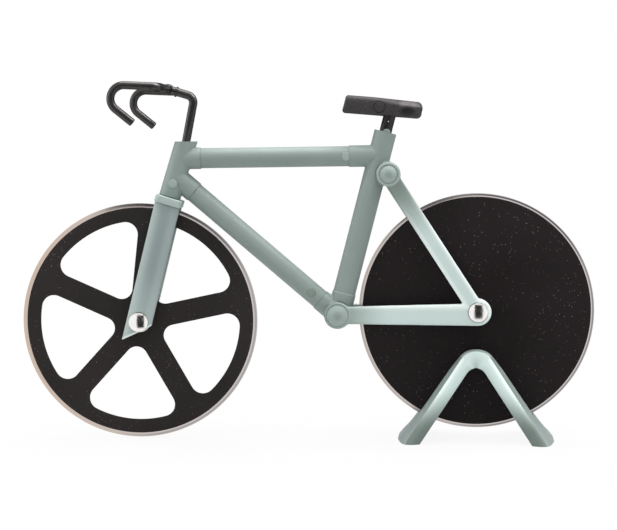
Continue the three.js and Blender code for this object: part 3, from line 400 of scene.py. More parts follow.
class FrameLines:
    """The axes of the frame's tubes in the side view, from the frame's settings."""

    def __init__(self, sizes):
        self.head_up = upright(sizes.head_lean)
        self.head_foot = HEAD_TOP - self.head_up * sizes.head_length
        self.seat_up = upright(sizes.seat_lean)
        self.seat_foot = BRACKET + rearwards(self.seat_up) * sizes.seat_setback
        self.seat_top = self.seat_foot + self.seat_up * sizes.seat_length
        self.top_front = self.head_foot + self.head_up * sizes.top_at_head
        self.top_rear = self.seat_top - self.seat_up * sizes.top_below
        self.top_run = (self.top_rear - self.top_front).normalized()
        self.top_seams = (
            self.top_front + self.top_run * sizes.top_head_stub,
            self.top_rear - self.top_run * sizes.top_seat_stub,
        )
        self.down_front = self.head_foot + self.head_up * sizes.down_at_head
        self.down_run = (BRACKET - self.down_front).normalized()
        self.down_seams = (
            self.down_front + self.down_run * sizes.down_head_stub,
            BRACKET - self.down_run * sizes.down_foot_stub,
        )
        self.seat_seam = self.seat_foot + self.seat_up * sizes.seat_seam
        self.fork_up = upright(sizes.fork_lean)
        self.leg_line = FRONT_AXLE + rearwards(self.fork_up) * sizes.leg_setback
        crown_reach = RIM_RADIUS + sizes.collar_gap
        self.leg_top = self.leg_line + self.fork_up * (crown_reach / self.fork_up.dot(self.head_up))
        self.leg_across = rearwards(self.fork_up) * sizes.leg_width
        self.leg_tip = self.leg_line - self.leg_across / 2 - self.fork_up * sizes.tip_drop
        rise = sizes.leg_width * math.tan(sizes.tip_slant + sizes.fork_lean)
        self.leg_slant = self.leg_across + self.fork_up * rise


# Modelling by hand: lines, rods, turned pieces, cuts and mouldings

def start_edit(name):
    """A new small plane at the origin, alone in the selection and in edit mode."""
    if bpy.context.mode != "OBJECT":
        bpy.ops.object.mode_set(mode="OBJECT")
    bpy.ops.object.select_all(action="DESELECT")
    bpy.ops.mesh.primitive_plane_add(size=MM)
    bpy.context.object.name = name
    bpy.ops.object.mode_set(mode="EDIT")
    bpy.ops.mesh.select_mode(type="VERT")
    return bpy.context.object


def end_edit():
    bpy.ops.object.mode_set(mode="OBJECT")
    return bpy.context.object


class Drawn:
    """What is selected in edit mode, drawn along: a point leaves a line, and a ring leaves a rod."""

    def __init__(self, start):
        self.tip = Vector(start)

    def to(self, point):
        bpy.ops.mesh.extrude_region_move(TRANSFORM_OT_translate={"value": point - self.tip})
        self.tip = Vector(point)

    def around(self, centre, axis, turn, steps):
        """Carries on round a centre, anticlockwise as seen against the axis."""
        bpy.ops.mesh.spin(steps=steps, angle=turn, center=centre, axis=-axis)
        self.tip = centre + Matrix.Rotation(turn, 3, axis) @ (self.tip - centre)


def draw_line(name, start):
    start_edit(name)
    bpy.ops.mesh.merge(type="CENTER")
    bpy.ops.transform.translate(value=start)
    return Drawn(start)


def draw_rod(name, start, direction, diameter, steps):
    """Starts a rod with a ring of points at its first end."""
    start_edit(name)
    bpy.ops.mesh.delete(type="VERT")
    facing = direction.to_track_quat("Z", "Y").to_euler()
    bpy.ops.mesh.primitive_circle_add(vertices=steps, radius=diameter / 2, location=start, rotation=facing)
    return Drawn(start)


def close_mesh():
    """Merges doubles, closes open ends and turns the faces outwards."""
    bpy.ops.mesh.select_all(action="SELECT")
    bpy.ops.mesh.remove_doubles(threshold=MERGE_DISTANCE)
    bpy.ops.mesh.fill_holes(sides=0)
    bpy.ops.mesh.normals_make_consistent(inside=False)
    return end_edit()


def rod(start, end, diameter, steps=TUBE_STEPS):
    drawn = draw_rod("rod", start, end - start, diameter, steps)
    drawn.to(end)
    return close_mesh()


def flat_rod(start, end, diameter, steps=TUBE_STEPS):
    """A rod between two spots of the side view."""
    return rod(place(start), place(end), diameter, steps)


def disc(spot, diameter, depth_a, depth_b, steps=TUBE_STEPS):
    """A disc or hole across the cutter, between two depths."""
    return rod(place(spot, depth_a), place(spot, depth_b), diameter, steps)


def turned(profile, centre, axis, steps=TUBE_STEPS):
    """A round piece: its profile, pairs of radius and height along the axis, is spun about the axis."""
    across = axis.orthogonal().normalized()
    points = [centre + axis * height + across * radius for radius, height in profile]
    line = draw_line("turned", points[0])
    for point in points[1:]:
        line.to(point)
    bpy.ops.mesh.select_all(action="SELECT")
    bpy.ops.mesh.spin(steps=steps, angle=2 * math.pi, center=centre, axis=axis)
    return close_mesh()


def dome(radius, base, height):
    """Profile points of a dome over a rim, ending on the axis."""
    points = []
    for step in range(DOME_STEPS, -1, -1):
        away = step / DOME_STEPS
        points.append((radius * away, base + height * (1 - away**2)))
    return points


def fill_and_extrude(line, first, run):
    """Closes a drawn outline into a face and draws it out into a plate."""
    line.to(first)
    bpy.ops.mesh.select_all(action="SELECT")
    bpy.ops.mesh.remove_doubles(threshold=MERGE_DISTANCE)
    bpy.ops.mesh.edge_face_add()
    bpy.ops.mesh.extrude_region_move(TRANSFORM_OT_translate={"value": run})
    return close_mesh()


def plate(corners, run):
    """A flat plate with straight edges, drawn out from its corners."""
    line = draw_line("plate", corners[0])
    for corner in corners[1:]:
        line.to(corner)
    return fill_and_extrude(line, corners[0], run)


def select_only(objects):
    bpy.ops.object.select_all(action="DESELECT")
    for item in objects:
        item.select_set(True)
    bpy.context.view_layer.objects.active = objects[0]
    return objects[0]


def joined(objects):
    whole = select_only(objects)
    if len(objects) > 1:
        bpy.ops.object.join()
    return whole


def use_modifier(piece, kind, **settings):
    """Adds a modifier to a piece and applies it."""
    select_only([piece])
    bpy.ops.object.modifier_add(type=kind)
    modifier = piece.modifiers[-1]
    for name, value in settings.items():
        setattr(modifier, name, value)
    bpy.ops.object.modifier_apply(modifier=modifier.name)
    return piece


def combine(piece, tools, operation):
    for tool in tools:
        use_modifier(piece, "BOOLEAN", object=tool, operation=operation, solver="EXACT")
        bpy.data.objects.remove(tool)
    return piece


def cut(piece, *tools):
    return combine(piece, list(tools), "DIFFERENCE")


def melted(parts, voxel, rounds):
    """Overlapping parts as one moulding, with its corners rounded."""
    whole = joined(parts)
    use_modifier(whole, "REMESH", mode="VOXEL", voxel_size=voxel)
    return use_modifier(whole, "SMOOTH", factor=0.5, iterations=rounds)


def round_edges(piece, width, segments=3, limit=math.radians(40)):
    return use_modifier(
        piece, "BEVEL", width=width, segments=segments, limit_method="ANGLE", angle_limit=limit
    )


def open_edit(piece):
    """Takes a piece into edit mode, with all of it selected."""
    select_only([piece])
    bpy.ops.object.mode_set(mode="EDIT")
    bpy.ops.mesh.select_all(action="SELECT")


def trim_end(piece, point, outwards):
    """Cuts off all of a piece that lies past a plane and closes the end."""
    open_edit(piece)
    bpy.ops.mesh.bisect(
        plane_co=point, plane_no=outwards, use_fill=True, clear_outer=True, threshold=CUT_TOLERANCE
    )
    return end_edit()


def mended(piece):
    """Closes the pinholes that cuts have left between small faces."""
    open_edit(piece)
    return close_mesh()


def moved(piece, matrix):
    """Turns and moves a piece that was drawn at the origin, and settles its place in its mesh."""
    select_only([piece])
    piece.matrix_world = matrix
    bpy.ops.object.transform_apply(location=True, rotation=True, scale=True)
    return piece


def copy_of(piece):
    """A copy of a piece with its own mesh."""
    select_only([piece])
    bpy.ops.object.duplicate(linked=False)
    return bpy.context.object


def eased(value):
    """A share from 0 to 1 that starts and ends gently."""
    value = min(max(value, 0.0), 1.0)
    return value * value * (3 - 2 * value)


def round_off(radius, from_end):
    """How far a rounded end pulls in at a distance from it."""
    short = min(max(radius - from_end, 0.0), radius)
    return radius - math.sqrt(radius**2 - short**2)


def loft(name, rings):
    """A closed skin through rings of points, for forms that no spin or extrusion gives."""
    mesh = bpy.data.meshes.new(name)
    skin = bmesh.new()
    rows = [[skin.verts.new(point) for point in ring] for ring in rings]
    for row, following in zip(rows, rows[1:]):
        for here in range(len(row)):
            ahead = (here + 1) % len(row)
            skin.faces.new((row[here], row[ahead], following[ahead], following[here]))
    skin.faces.new(rows[0])
    skin.faces.new(rows[-1])
    bmesh.ops.recalc_face_normals(skin, faces=skin.faces)
    skin.to_mesh(mesh)
    skin.free()
    piece = bpy.data.objects.new(name, mesh)
    bpy.context.scene.collection.objects.link(piece)
    return piece


NODE_BODIES = {
    node: body for body, nodes in frame["record"]["behaviour"]["bodies"].items() for node in nodes
}


def finish_piece(piece, node, *materials):
    """Names a piece for the CAD node that it stands for, shades it and puts it on the node's body."""
    select_only([piece])
    piece.name = f"{node}_finish"
    piece.data.name = piece.name
    bpy.ops.object.shade_smooth_by_angle(angle=SMOOTH_ANGLE)
    piece.data.materials.clear()
    for material in materials:
        piece.data.materials.append(material)
    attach(piece, NODE_BODIES[node])
    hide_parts(node)
    return piece


# Finishes: shared effects are node groups, and each material places them with its own values

def add_node(tree, kind, settings=None, **inputs):
    node = tree.nodes.new(kind)
    for name, value in (settings or {}).items():
        setattr(node, name, value)
    for name, value in inputs.items():
        node.inputs[name].default_value = value
    return node


def socket(sockets, identifier):
    return next(entry for entry in sockets if entry.identifier == identifier)


def supply(tree, target, value):
    """Links an input to an output, or sets it to a plain value."""
    if isinstance(value, bpy.types.NodeSocket):
        tree.links.new(value, target)
    else:
        target.default_value = value


def math_node(tree, operation, *values, clamp=False):
    """A Math node of up to three inputs, each an output or a number."""
    node = add_node(tree, "ShaderNodeMath", {"operation": operation, "use_clamp": clamp})
    for target, value in zip(node.inputs, values):
        supply(tree, target, value)
    return node.outputs[0]


def vector_node(tree, operation, *values, output="Vector"):
    """A Vector Math node of one or two inputs, each an output or three numbers."""
    node = add_node(tree, "ShaderNodeVectorMath", {"operation": operation})
    for target, value in zip(node.inputs, values):
        supply(tree, target, value)
    return node.outputs[output]


def map_range(tree, value, low, high, new_low=0.0, new_high=1.0, smooth=False):
    settings = {"interpolation_type": "SMOOTHSTEP" if smooth else "LINEAR"}
    node = add_node(tree, "ShaderNodeMapRange", settings)
    ends = {"From Min": low, "From Max": high, "To Min": new_low, "To Max": new_high}
    for name, number in {"Value": value, **ends}.items():
        supply(tree, node.inputs[name], number)
    return node.outputs["Result"]


def mix_colours(tree, factor, first, second):
    """A colour between two, each an output or three channels."""
    node = add_node(tree, "ShaderNodeMix", {"data_type": "RGBA"})
    supply(tree, socket(node.inputs, "Factor_Float"), factor)
    for identifier, value in (("A_Color", first), ("B_Color", second)):
        if not isinstance(value, bpy.types.NodeSocket):
            value = (*value, 1)
        supply(tree, socket(node.inputs, identifier), value)
    return socket(node.outputs, "Result_Color")


def toned(tone, factor):
    """A lighter or darker tone of a colour."""
    return tuple(min(1.0, channel * factor) for channel in tone)


def noise(tree, vector, scale, detail, roughness):
    node = add_node(tree, "ShaderNodeTexNoise", None, Detail=detail, Roughness=roughness)
    supply(tree, node.inputs["Vector"], vector)
    supply(tree, node.inputs["Scale"], scale)
    return node.outputs["Fac"]


def shared_group(name, inputs, outputs):
    """Makes a node group when it is first asked for, and lets the function below fill it.

    An input without a default is a vector, and every other input or output is a value.
    """

    def fill_with(fill):
        def shared():
            if name in bpy.data.node_groups:
                return bpy.data.node_groups[name]
            group = bpy.data.node_groups.new(name, "ShaderNodeTree")
            for label, default in inputs.items():
                kind = "NodeSocketVector" if default is None else "NodeSocketFloat"
                entry = group.interface.new_socket(name=label, in_out="INPUT", socket_type=kind)
                if default is not None:
                    entry.default_value = default
            for label in outputs:
                group.interface.new_socket(name=label, in_out="OUTPUT", socket_type="NodeSocketFloat")
            given = group.nodes.new("NodeGroupInput").outputs
            fill(group, given, group.nodes.new("NodeGroupOutput").inputs)
            return group

        return shared

    return fill_with


@shared_group(
    "Moulded Grain",
    {"Vector": None, "Grain Scale": 5000.0, "Drift Scale": 60.0},
    ("Height", "Drift"),
)
def grain_group(group, given, out):
    """Fine moulded grain: a height for bump and a slow drift for colour and roughness."""
    fine = noise(group, given["Vector"], given["Grain Scale"], detail=3.0, roughness=0.6)
    drift = noise(group, given["Vector"], given["Drift Scale"], detail=2.0, roughness=0.5)
    supply(group, out["Height"], fine)
    supply(group, out["Drift"], map_range(group, drift, 0.3, 0.7))


@shared_group(
    "Dust Specks",
    {"Vector": None, "Scale": 400.0, "Kept": 0.1, "Speck Size": 0.12},
    ("Mask",),
)
def specks_group(group, given, out):
    """Dust: small pale specks, each a cell of its own size, kept only in a share of the cells."""
    sharpness = 30.0
    cells = add_node(group, "ShaderNodeTexVoronoi")
    supply(group, cells.inputs["Vector"], given["Vector"])
    supply(group, cells.inputs["Scale"], given["Scale"])
    chance = add_node(group, "ShaderNodeSeparateColor")
    supply(group, chance.inputs["Color"], cells.outputs["Color"])
    kept = math_node(group, "LESS_THAN", chance.outputs["Red"], given["Kept"])
    reach = math_node(group, "MULTIPLY", chance.outputs["Green"], given["Speck Size"])
    inside = math_node(group, "SUBTRACT", reach, cells.outputs["Distance"])
    soft = math_node(group, "MULTIPLY", inside, sharpness, clamp=True)
    bright = math_node(group, "MULTIPLY", soft, chance.outputs["Blue"])
    supply(group, out["Mask"], math_node(group, "MULTIPLY", bright, kept))


@shared_group("Fine Scratches", {"Vector": None, "Kept": 0.2}, ("Mask",))
def scratches_group(group, given, out):
    """Fine scratches: thin, broken streaks across one direction of the vector."""
    stretch = add_node(group, "ShaderNodeMapping", None, Scale=(260.0, 260.0, 5200.0))
    supply(group, stretch.inputs["Vector"], given["Vector"])
    streaks = noise(group, stretch.outputs["Vector"], 1.0, detail=1.0, roughness=0.4)
    thin = map_range(group, streaks, 0.70, 0.76)
    patches = noise(group, given["Vector"], 240.0, detail=2.0, roughness=0.5)
    clear = math_node(group, "SUBTRACT", 1.0, given["Kept"])
    broken = math_node(group, "GREATER_THAN", patches, clear)
    supply(group, out["Mask"], math_node(group, "MULTIPLY", thin, broken))


@shared_group("Distance Fade", {"Vector": None, "Centre": None, "Start": 0.0, "End": 0.1}, ("Value",))
def fade_group(group, given, out):
    """How far a point is from a centre, from 0 at one distance to 1 at another."""
    distance = vector_node(group, "DISTANCE", given["Vector"], given["Centre"], output="Value")
    supply(group, out["Value"], map_range(group, distance, given["Start"], given["End"], smooth=True))


@shared_group("Segment Distance", {"Vector": None, "Start": None, "End": None}, ("Distance",))
def segment_group(group, given, out):
    """Distance in the side view from a line between two points."""
    flat = vector_node(group, "MULTIPLY", given["Vector"], WITHOUT_DEPTH)
    run = vector_node(group, "SUBTRACT", given["End"], given["Start"])
    reach = vector_node(group, "SUBTRACT", flat, given["Start"])
    along = vector_node(group, "DOT_PRODUCT", reach, run, output="Value")
    whole = vector_node(group, "DOT_PRODUCT", run, run, output="Value")
    part = math_node(group, "DIVIDE", along, whole, clamp=True)
    foot = add_node(group, "ShaderNodeVectorMath", {"operation": "SCALE"})
    supply(group, foot.inputs[0], run)
    supply(group, foot.inputs["Scale"], part)
    distance = vector_node(group, "DISTANCE", reach, foot.outputs["Vector"], output="Value")
    supply(group, out["Distance"], distance)


@shared_group("Wheel Position", {"Vector": None, "Centre": None}, ("Radius", "Rear", "Up"))
def wheel_group(group, given, out):
    """Where a point lies on a wheel: its radius, and how far to the rear and up on a unit circle."""
    reach = vector_node(group, "SUBTRACT", given["Vector"], given["Centre"])
    flat = vector_node(group, "MULTIPLY", reach, WITHOUT_DEPTH)
    parts = add_node(group, "ShaderNodeSeparateXYZ")
    supply(group, parts.inputs["Vector"], vector_node(group, "NORMALIZE", flat))
    supply(group, out["Radius"], vector_node(group, "LENGTH", flat, output="Value"))
    supply(group, out["Rear"], parts.outputs["X"])
    supply(group, out["Up"], parts.outputs["Z"])


class Finish:
    """A new material: its tree, its Principled shader and the Object coordinates of its patterns."""

    def __init__(self, name, **shader_inputs):
        self.material = bpy.data.materials.new(name)
        self.material.use_nodes = True
        self.tree = self.material.node_tree
        self.shader = self.tree.nodes["Principled BSDF"]
        for label, value in shader_inputs.items():
            self.shader.inputs[label.replace("_", " ")].default_value = value
        self.vector = self.tree.nodes.new("ShaderNodeTexCoord").outputs["Object"]

    def group(self, group, **inputs):
        """Places a node group with its own values, and gives its outputs."""
        node = add_node(self.tree, "ShaderNodeGroup", {"node_tree": group})
        for label, value in inputs.items():
            node.inputs[label.replace("_", " ")].default_value = value
        supply(self.tree, node.inputs["Vector"], self.vector)
        return node.outputs

    def add_grain(self, scale, drift_scale, roughness, bump, depth):
        """Fine grain: its drift moves the roughness between two values, and its height makes the bump."""
        grain = self.group(grain_group(), Grain_Scale=scale, Drift_Scale=drift_scale)
        rough = map_range(self.tree, grain["Drift"], 0.0, 1.0, *roughness)
        supply(self.tree, self.shader.inputs["Roughness"], rough)
        relief = add_node(self.tree, "ShaderNodeBump", None, Strength=bump, Distance=depth)
        supply(self.tree, relief.inputs["Height"], grain["Height"])
        supply(self.tree, self.shader.inputs["Normal"], relief.outputs["Normal"])
        return grain

    def turn_vector(self, origin, turn):
        """Reads the later patterns in the frame of a piece that was turned about an upright axis."""
        mapping = add_node(self.tree, "ShaderNodeMapping", {"vector_type": "TEXTURE"})
        mapping.inputs["Location"].default_value = origin
        mapping.inputs["Rotation"].default_value = (0, 0, turn)
        supply(self.tree, mapping.inputs["Vector"], self.vector)
        self.vector = mapping.outputs["Vector"]

    def height(self):
        parts = self.tree.nodes.new("ShaderNodeSeparateXYZ")
        supply(self.tree, parts.inputs["Vector"], self.vector)
        return parts.outputs["Z"]

    def from_segment(self, start, end):
        """Distance in the side view from the line between two spots."""
        return self.group(segment_group(), Start=place(start), End=place(end))["Distance"]

    def from_spot(self, spot):
        """Distance in the side view from a spot, drawn as a line too short to see."""
        return self.from_segment(spot, spot + Vector((0.01 * MM, 0)))

    def past(self, centre, start, end):
        """0 within a first distance from a point, rising to 1 at a second distance."""
        return self.group(fade_group(), Centre=centre, Start=start, End=end)["Value"]

    def coloured(self, colour):
        """Gives the shader its colour, which completes the material."""
        supply(self.tree, self.shader.inputs["Base Color"], colour)
        return self.material


def once(make):
    """A finish is made the first time that it, or its name, is asked for, and then shared."""
    made = {}

    def shared(*values):
        name = values[0] if values else None
        if name not in made:
            made[name] = make(*values)
        return made[name]

    return shared


def plastic(name, main, second, roughness, tint=None):
    """Moulded satin plastic: two drifting tones, fine grain, and a function that may tint it."""
    finish = Finish(name, Specular_IOR_Level=0.35)
    drifting = (roughness - 0.05, roughness + 0.05)
    grain = finish.add_grain(4200.0, 70.0, drifting, bump=0.12, depth=0.1 * MM)
    drift = math_node(finish.tree, "MULTIPLY", grain["Drift"], 0.5)
    base = mix_colours(finish.tree, drift, main, second)
    return finish.coloured(tint(finish, base) if tint else base)


@once
def frame_green():
    sizes = bpy.context.scene.cutter_frame
    return plastic("sage_green_plastic", sizes.green, sizes.green_shade, 0.5)


@once
def bracket_green():
    """Sage green with a painted highlight along the edge where the seat tube stands on the bracket."""
    sizes = bpy.context.scene.cutter_frame
    lines = FrameLines(sizes)
    across = rearwards(lines.seat_up) * sizes.foot_stub

    def edge_highlighted(finish, base):
        # Painted highlight along the seam at the seat tube's foot.
        away = finish.from_segment(lines.seat_seam - across, lines.seat_seam + across)
        edge = map_range(finish.tree, away, 0.5 * MM, 0.1 * MM, 0.0, 0.5)
        return mix_colours(finish.tree, edge, base, sizes.pale)

    return plastic("bracket_green_plastic", sizes.green, sizes.green_shade, 0.5, edge_highlighted)


@once
def mixed_green(name, factor, other):
    """Sage green with some of another tone in it, for small mouldings."""
    sizes = bpy.context.scene.cutter_frame

    def mixed(finish, base):
        return mix_colours(finish.tree, factor, base, other)

    return plastic(name, sizes.green, sizes.green_shade, 0.45, mixed)


@once
def cap_green(name, spot, radius):
    """Sage green of a cap, with a painted highlight round its dome that leaves its middle darker."""
    sizes = bpy.context.scene.cutter_frame

    def paler(finish, base):
        # Painted highlight: a light ring round the dome, darker at its middle.
        away = finish.from_spot(spot)
        ring = map_range(finish.tree, away, 0.1 * radius, 0.65 * radius, 0.0, 0.25, smooth=True)
        return mix_colours(finish.tree, ring, base, sizes.pale)

    return plastic(name, sizes.green, sizes.green_shade, 0.4, paler)


@once
def arm_green():
    """Pale towards the axle, with painted shade towards the bosses, painted highlights along the edges, and
    painted highlight rings round the caps.
    """
    sizes = bpy.context.scene.cutter_frame

    def tint(finish, base):
        tree = finish.tree
        below = Vector((0, sizes.axle_boss - sizes.chain_stay)) / 2
        # Painted highlight along the arms' rounded edges, away from the middle lines of the stays.
        upper = finish.from_segment(EAR, REAR_AXLE)
        lower = finish.from_segment(BRACKET - below / 3, REAR_AXLE - below)
        upper = map_range(tree, upper, 1.0 * MM, 3.0 * MM, smooth=True)
        lower = map_range(tree, lower, 2.2 * MM, 4.8 * MM, smooth=True)
        edge = math_node(tree, "MINIMUM", upper, lower)
        pale = mix_colours(tree, edge, base, sizes.pale_edge_highlight)
        # Painted shade that darkens the arms towards the bosses.
        far = finish.past(place(REAR_AXLE), 34 * MM, 62 * MM)
        shaded = mix_colours(tree, far, pale, sizes.pale_deep)
        # Painted highlight on the rims round the caps.
        bosses = [finish.from_spot(spot) for spot in (EAR, BRACKET)]
        nearest = math_node(tree, "MINIMUM", *bosses)
        ring = map_range(tree, nearest, 5.4 * MM, 4.4 * MM, 0.0, 0.4, smooth=True)
        return mix_colours(tree, ring, shaded, sizes.pale)

    return plastic("arm_green_plastic", sizes.pale, sizes.pale, 0.45, tint)


@once
def fork_green():
    """Bluish along the middle of the legs, with painted highlights at their edges and brightest along their
    slanting ends, painted shade towards their rear sides, and painted light near the axle.
    """
    sizes = bpy.context.scene.cutter_frame
    lines = FrameLines(sizes)
    foot_spot = lines.leg_line - lines.fork_up * sizes.leg_width
    rear_side = lines.leg_across / 2

    def tint(finish, base):
        tree = finish.tree
        away = finish.from_segment(foot_spot, lines.leg_top)
        # Painted highlight towards both edges of a leg.
        edge = map_range(tree, away, 0.8 * MM, 4.8 * MM, smooth=True)
        edge_highlighted = mix_colours(tree, edge, base, sizes.leg_edge_highlight)
        # Painted shade in the bluish leg colour towards the leg's rear side.
        behind = finish.from_segment(foot_spot + rear_side, lines.leg_top + rear_side)
        dull = map_range(tree, behind, 0.0, 4 * MM, 0.7, 0.0)
        rear_shaded = mix_colours(tree, dull, edge_highlighted, sizes.leg)
        # Painted light that lightens the legs near the axle.
        above = finish.past(place(FRONT_AXLE), 4 * MM, 26 * MM)
        paler = map_range(tree, above, 0.0, 1.0, 0.3, 0.0)
        low = mix_colours(tree, paler, rear_shaded, sizes.pale)
        # Painted highlight along the slanting end.
        end = finish.from_segment(lines.leg_tip, lines.leg_tip + lines.leg_slant)
        end_highlight = map_range(tree, end, 1.1 * MM, 0.3 * MM, 0.0, 0.8, smooth=True)
        return mix_colours(tree, end_highlight, low, sizes.pale_edge_highlight)

    return plastic("fork_green_plastic", sizes.leg, sizes.leg, 0.4, tint)


def stand_plastic(name, main, ridge, foot):
    """Pale plastic of the stand, with painted shade that darkens it towards the feet, and a painted line in
    the ridge colour along its outer edges.
    """
    stand = bpy.context.scene.cutter_stand

    def tint(finish, base):
        finish.turn_vector(Vector((REAR_AXLE.x, 0, 0)), -stand.turn)
        top = Vector((0, stand.height - stand.apex_radius))
        sides = []
        for side in (-1, 1):
            outwards = Vector((side * math.cos(stand.spread), math.sin(stand.spread)))
            start = top + outwards * stand.apex_radius
            run = Vector((side * math.sin(stand.spread), -math.cos(stand.spread)))
            sides.append(finish.from_segment(start, start + run * 2 * stand.height))
        nearest = math_node(finish.tree, "MINIMUM", *sides)
        # Painted line along the ridge: a painted highlight on the near and far faces, and painted shade
        # beside it on the outer faces.
        edge = map_range(finish.tree, nearest, 1.9 * MM, 0.2 * MM, 0.0, 0.8, smooth=True)
        ridge_painted = mix_colours(finish.tree, edge, base, ridge)
        # Painted shade: darker towards the feet.
        up = map_range(finish.tree, finish.height(), 5 * MM, 23 * MM, smooth=True)
        return mix_colours(finish.tree, up, foot, ridge_painted)

    return plastic(name, main, main, 0.42, tint)


@once
def stand_green():
    sizes = bpy.context.scene.cutter_frame
    foot = bpy.context.scene.cutter_stand.foot
    return stand_plastic("stand_green_plastic", sizes.pale, sizes.pale_edge_highlight, foot)


@once
def stand_outside_shaded():
    # Outer faces: a darker copy of the stand's plastic that paints shade on them, with a painted shade line
    # beside the ridge.
    sizes = bpy.context.scene.cutter_stand
    return stand_plastic("stand_outside_plastic", sizes.outside, sizes.crease_shade, sizes.outside_foot_shade)


@once
def white_nylon():
    sizes = bpy.context.scene.cutter_blades
    return plastic("white_nylon", sizes.nylon, toned(sizes.nylon, 0.9), 0.5)


def blade_coat(name, coat):
    """Black non-stick coat with a lighter drift, specks of dust in patches, and fine scratches."""
    sizes = bpy.context.scene.cutter_blades
    finish = Finish(name, Specular_IOR_Level=0.12)
    tree = finish.tree
    grain = finish.add_grain(2600.0, 32.0, roughness=(0.5, 0.62), bump=0.1, depth=0.1 * MM)
    specks = finish.group(specks_group(), Scale=2000.0, Kept=0.09, Speck_Size=0.33)["Mask"]
    crumbs = finish.group(specks_group(), Scale=650.0, Kept=0.03, Speck_Size=0.15)["Mask"]
    scratches = finish.group(scratches_group(), Kept=0.36)["Mask"]
    faint = math_node(tree, "MULTIPLY", scratches, 0.3)
    patches = map_range(tree, grain["Drift"], 0.2, 0.9, 0.2, 1.0)
    dust = math_node(tree, "MAXIMUM", specks, crumbs)
    dust = math_node(tree, "MULTIPLY", dust, patches)
    dust = math_node(tree, "MAXIMUM", dust, faint)
    black = mix_colours(tree, grain["Drift"], coat, toned(coat, 1.4))
    return finish.coloured(mix_colours(tree, dust, black, sizes.dust))


def ground_steel(name, axle, bevel, reflection_warmth, line):
    """Bare steel of a bevel, with painted reflections: warm to the front, and a dark line that deepens up and
    to the rear.
    """
    sizes = bpy.context.scene.cutter_blades
    finish = Finish(name, Metallic=1.0)
    tree = finish.tree
    finish.add_grain(3000.0, 90.0, roughness=(0.2, 0.3), bump=0.1, depth=0.05 * MM)
    wheel = finish.group(wheel_group(), Centre=place(axle))
    # Painted reflection: a warm tint towards the front.
    front = map_range(tree, wheel["Rear"], 0.4, -0.9, 0.0, reflection_warmth)
    tint = mix_colours(tree, front, sizes.steel, sizes.steel_warm_reflection)
    # Painted reflection: the dark line deepens to the rear and up, on top of its depth all round.
    rear = map_range(tree, wheel["Rear"], -0.35, 0.25, 0.0, 0.45, smooth=True)
    high = math_node(tree, "MULTIPLY_ADD", wheel["Rear"], 0.4, wheel["Up"])
    above = map_range(tree, high, 0.7, 1.05, 0.0, 0.45, smooth=True)
    depth = math_node(tree, "ADD", math_node(tree, "ADD", rear, above), line)
    radius = wheel["Radius"]
    start = map_range(tree, radius, RIM_RADIUS - 0.8 * bevel, RIM_RADIUS - 0.45 * bevel, smooth=True)
    end = map_range(tree, radius, RIM_RADIUS, RIM_RADIUS - 0.4 * bevel, 0.3, 1.0, smooth=True)
    band = math_node(tree, "MULTIPLY", start, end)
    # The painted dark reflection line, within its band of the bevel.
    dark = math_node(tree, "MULTIPLY", band, depth, clamp=True)
    return finish.coloured(mix_colours(tree, dark, tint, sizes.steel_dark_reflection))


@once
def polished_steel():
    polish = bpy.context.scene.cutter_blades.polish
    finish = Finish("polished_steel", Metallic=1.0)
    grain = finish.add_grain(1500.0, 500.0, roughness=(0.12, 0.24), bump=0.15, depth=0.05 * MM)
    return finish.coloured(mix_colours(finish.tree, grain["Drift"], polish, toned(polish, 0.93)))


@once
def rod_black():
    black = bpy.context.scene.cutter_bar.black
    finish = Finish("rod_black", Specular_IOR_Level=0.55)
    grain = finish.add_grain(1400.0, 220.0, roughness=(0.16, 0.24), bump=0.015, depth=0.1 * MM)
    return finish.coloured(mix_colours(finish.tree, grain["Drift"], black, toned(black, 1.5)))


@once
def post_black():
    """Black of the seat post, with a small white spot on its near side."""
    sizes = bpy.context.scene.cutter_saddle
    lines = FrameLines(bpy.context.scene.cutter_frame)
    mark = place(lines.seat_top + lines.seat_up * sizes.mark_rise, sizes.post / 2)
    finish = Finish("post_black", Specular_IOR_Level=0.35)
    grain = finish.add_grain(1800.0, 220.0, roughness=(0.3, 0.4), bump=0.1, depth=0.1 * MM)
    deep = toned(sizes.black, 0.35)
    black = mix_colours(finish.tree, grain["Drift"], deep, toned(sizes.black, 0.5))
    white = (0.8, 0.8, 0.8)
    beside = finish.past(mark, 0.1 * MM, 0.35 * MM)
    return finish.coloured(mix_colours(finish.tree, beside, white, black))


def saddle_place():
    """The frame of the saddle, which is drawn with the post's top at the origin."""
    sizes = bpy.context.scene.cutter_saddle
    lines = FrameLines(bpy.context.scene.cutter_frame)
    top = lines.seat_top + lines.seat_up * sizes.post_rise
    return Matrix.Translation(place(top)) @ Matrix.Rotation(sizes.tilt, 4, "Y")


@once
def saddle_black():
    """Grainy black, with a painted highlight on top of the wings and painted shade in the hollows below them.
    """
    sizes = bpy.context.scene.cutter_saddle
    finish = Finish("saddle_black", Specular_IOR_Level=0.2)
    grain = finish.add_grain(1700.0, 120.0, roughness=(0.42, 0.52), bump=0.5, depth=0.3 * MM)
    speckle = map_range(finish.tree, grain["Height"], 0.42, 0.68)
    black = mix_colours(finish.tree, speckle, sizes.black, toned(sizes.black, 1.7))
    on_post = saddle_place()
    from_post = sizes.post_inset - 0.18 * sizes.length
    # Centres of the painted highlight on a wing and of the painted shade in the hollow below it.
    wing = on_post @ place(Vector((from_post, 0.8 * sizes.height)), 0.45 * sizes.tail_width)
    hollow = on_post @ place(Vector((from_post, 0.3 * sizes.height)), 0.35 * sizes.tail_width)
    # Painted highlight on top of the wing.
    highlighted = mix_colours(finish.tree, finish.past(wing, 1.5 * MM, 5 * MM), sizes.wing, black)
    # Painted shade in the hollow below the wing.
    beside = finish.past(hollow, 1.5 * MM, 4.5 * MM)
    return finish.coloured(mix_colours(finish.tree, beside, sizes.hollow, highlighted))


# The pieces

